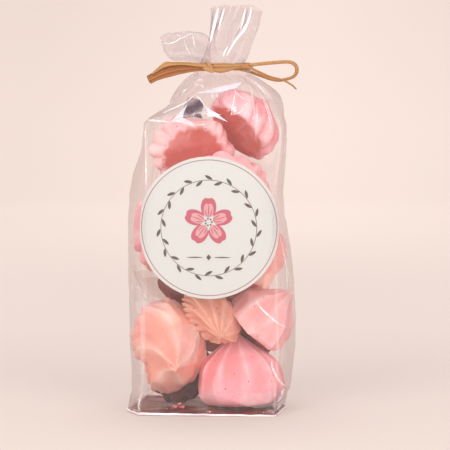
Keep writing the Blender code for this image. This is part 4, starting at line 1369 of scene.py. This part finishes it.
def make_label():
    """The sticker's paper and its print: a thin ring, a leaf wreath, a blossom, an ornament."""
    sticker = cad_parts["sticker"]
    sticker.data.materials.clear()
    sticker.data.materials.append(paper_material("sticker_paper", LABEL_LIGHT, LABEL_SHADE))
    tree = merged_tree([sticker])
    rose_ink = paper_material("ink_rose", colour(187, 109, 121), colour(176, 92, 106))
    pale_ink = paper_material("ink_pale_rose", colour(206, 160, 162), colour(198, 146, 150))
    dust_ink = paper_material("ink_dusty_rose", colour(164, 128, 130), colour(154, 118, 120))
    brown_ink = paper_material("ink_grey_brown", colour(110, 98, 90), colour(96, 86, 78))
    printed("sticker_ring", [ring_band(RING_RADIUS, 0.42)], dust_ink, tree)
    leaves = []
    for k in range(WREATH_LEAVES):
        turn = 2 * math.pi * (k + 0.5) / WREATH_LEAVES
        out = WREATH_RADIUS + (1.3 if k % 2 else -1.3)
        lean = turn + math.pi / 2 + (-0.5 if k % 2 else 0.5)
        leaves.append(fan(leaf((out * math.cos(turn), out * math.sin(turn)),
                               (math.cos(lean), math.sin(lean)), 4.4, 1.5)))
    leaves.append(ring_band(WREATH_RADIUS, 0.28))
    printed("sticker_wreath", leaves, brown_ink, tree)
    centre = np.array((0.0, 3.0))
    outer, inner = [], []
    for k in range(PETALS):
        turn = math.pi / 2 + 2 * math.pi * k / PETALS
        outer.append(petal(turn, 12.4, 11.2) + centre)
        inner.append(petal(turn, 9.6, 7.2) + centre)
    printed("sticker_petals", [fan(shape) for shape in outer], rose_ink, tree)
    printed("sticker_petal_hearts", [fan(shape) for shape in inner], pale_ink, tree,
            PRINT_LIFT * 2)
    veins = []
    for k in range(PETALS):
        for offset in (-0.28, 0.0, 0.28):
            turn = math.pi / 2 + 2 * math.pi * k / PETALS + offset
            way = np.array((math.cos(turn), math.sin(turn)))
            veins.append(fan(line(centre + 2.6 * way, centre + (9.0 - 8 * abs(offset)) * way,
                                  0.5)))
    printed("sticker_veins", veins, rose_ink, tree, PRINT_LIFT * 3)
    dots = [fan(leaf(centre + 1.6 * np.array((math.cos(t), math.sin(t))), (1, 0), 0.9, 0.9))
            for t in np.linspace(0, 2 * math.pi, 7, endpoint=False)]
    low = -14.4
    ornament = [fan(line((-11.0, low), (-2.6, low), 0.55)), fan(line((2.6, low), (11.0, low), 0.55)),
                fan(np.array(((0, low + 1.5), (1.2, low), (0, low - 1.5), (-1.2, low))))]
    printed("sticker_ornament", dots + ornament, brown_ink, tree, PRINT_LIFT * 3.5)


# ---------------------------------------------------------------- stage, light, camera

CAMERA_AZIMUTH = 3.0
CAMERA_ELEVATION = 6.0
CAMERA_DISTANCE = 1.0
CAMERA_TARGET = (7.35 * MM, 93.0 * MM)      # to the camera's right, and up
CAMERA_LENS = 159.1

BACKDROP_COLOUR = (0.915, 0.775, 0.712, 1.0)
FLOOR_GLOW = 0.42
WALL_GLOW = 0.62
# The backdrop's glow: painted contact shadow, painted shade up high, painted pool of light
PAINTED_CONTACT_SHADOW = 0.065
PAINTED_TOP_FALLOFF = 0.28
PAINTED_POOL_GAIN = 0.085
LABEL_LIGHT = (0.575, 0.580, 0.565, 1.0)
LABEL_SHADE = (0.545, 0.555, 0.535, 1.0)

# Softboxes: azimuth (0 is the camera's side, + to the right), elevation in degrees,
# distance and size in metres, radiance, and whether glossy surfaces mirror it
SOFTBOXES = (
    ("softbox_left", -38.0, 36.0, 1.25, (0.60, 0.70), 4.5, False),
    ("softbox_right", 42.0, 30.0, 1.30, (0.50, 0.80), 3.9, False),
    ("softbox_front", 2.0, 12.0, 1.60, (1.10, 0.70), 2.2, False),
    ("softbox_top", 178.0, 79.0, 1.20, (0.80, 0.60), 4.8, False),
    ("softbox_low", -12.0, 3.0, 1.40, (1.20, 0.20), 4.2, False),
    ("glint_high", -10.0, 58.0, 1.20, (0.22, 0.12), 6.0, True),
    ("glint_side", 62.0, 20.0, 1.30, (0.10, 0.60), 5.0, True),
)


def make_camera():
    data = bpy.data.cameras.new("camera")
    data.lens = CAMERA_LENS
    data.sensor_width = 36.0
    camera = bpy.data.objects.new("camera", data)
    a, e = math.radians(CAMERA_AZIMUTH), math.radians(CAMERA_ELEVATION)
    back = Vector((math.sin(a) * math.cos(e), -math.cos(a) * math.cos(e), math.sin(e)))
    right = Vector((math.cos(a), math.sin(a), 0))
    camera.location = right * CAMERA_TARGET[0] + Vector((0, 0, CAMERA_TARGET[1])) \
        + back * CAMERA_DISTANCE
    camera.rotation_mode = 'QUATERNION'
    camera.rotation_quaternion = (-back).to_track_quat('-Z', 'Y')
    bpy.context.scene.collection.objects.link(camera)
    bpy.context.scene.camera = camera


def area_light(name, place, aim, size, power, mirrored):
    data = bpy.data.lights.new(name, 'AREA')
    data.shape = 'RECTANGLE'
    data.size, data.size_y = size
    data.energy = power
    data.color = (1.0, 0.985, 0.97)
    light = bpy.data.objects.new(name, data)
    light.location = place
    way = Vector(aim) - Vector(place)
    light.rotation_mode = 'QUATERNION'
    light.rotation_quaternion = way.to_track_quat('-Z', 'Y')
    light.visible_camera = False
    light.visible_glossy = mirrored
    bpy.context.scene.collection.objects.link(light)


def make_stage():
    """A bowl-shaped seamless backdrop, soft light from both front sides and above."""
    radius, bend, wall = 1.9, 0.7, 1.0
    outline = [(0.0, 0.0), (0.3, 0.0), (radius - bend, 0.0)]
    for k in range(1, 13):
        turn = 0.5 * math.pi * k / 12
        outline.append((radius - bend + bend * math.sin(turn), bend - bend * math.cos(turn)))
    outline.append((radius, wall))
    spokes = 96
    angle = np.linspace(0, 2 * math.pi, spokes, endpoint=False)
    points = np.array([[(r * math.cos(t), r * math.sin(t), h) for t in angle]
                       for r, h in outline]).reshape(-1, 3)
    bowl = new_mesh_object("backdrop", points, grid_faces(len(outline), spokes, True),
                           backdrop_material())
    merge_points(bowl, recalc=False)
    scene = bpy.context.scene
    world = bpy.data.worlds.new("studio")
    scene.world = world
    world.use_nodes = True
    sky = world.node_tree.nodes["Background"]
    sky.inputs["Color"].default_value = (0.96, 0.97, 1.0, 1.0)
    sky.inputs["Strength"].default_value = 0.40
    aim = np.array((0.0, 0.0, 0.09))
    for name, azimuth, elevation, distance, size, radiance, mirrored in SOFTBOXES:
        a, e = math.radians(azimuth), math.radians(elevation)
        place = aim + distance * np.array((math.sin(a) * math.cos(e), -math.cos(a) * math.cos(e),
                                           math.sin(e)))
        area_light(name, place.tolist(), aim.tolist(), size,
                   radiance * math.pi * size[0] * size[1], mirrored)
    scene.view_settings.view_transform = 'Standard'
    scene.cycles.transparent_max_bounces = 24
    scene.cycles.max_bounces = 10
    scene.cycles.diffuse_bounces = 5


make_camera()
make_stage()
clear_film = film_material()
contents = make_meringues()
make_creases(make_film(contents, clear_film))
make_foot(clear_film)
make_ruffle(film_material("ruffle_film", haze=0.04, whitening=0.35, mirror=0.08,
                          face_tint=(0.925, 0.888, 0.895, 1.0), edge_tint=(0.80, 0.75, 0.77, 1.0)))
make_crumbs()
make_raffia()
make_label()
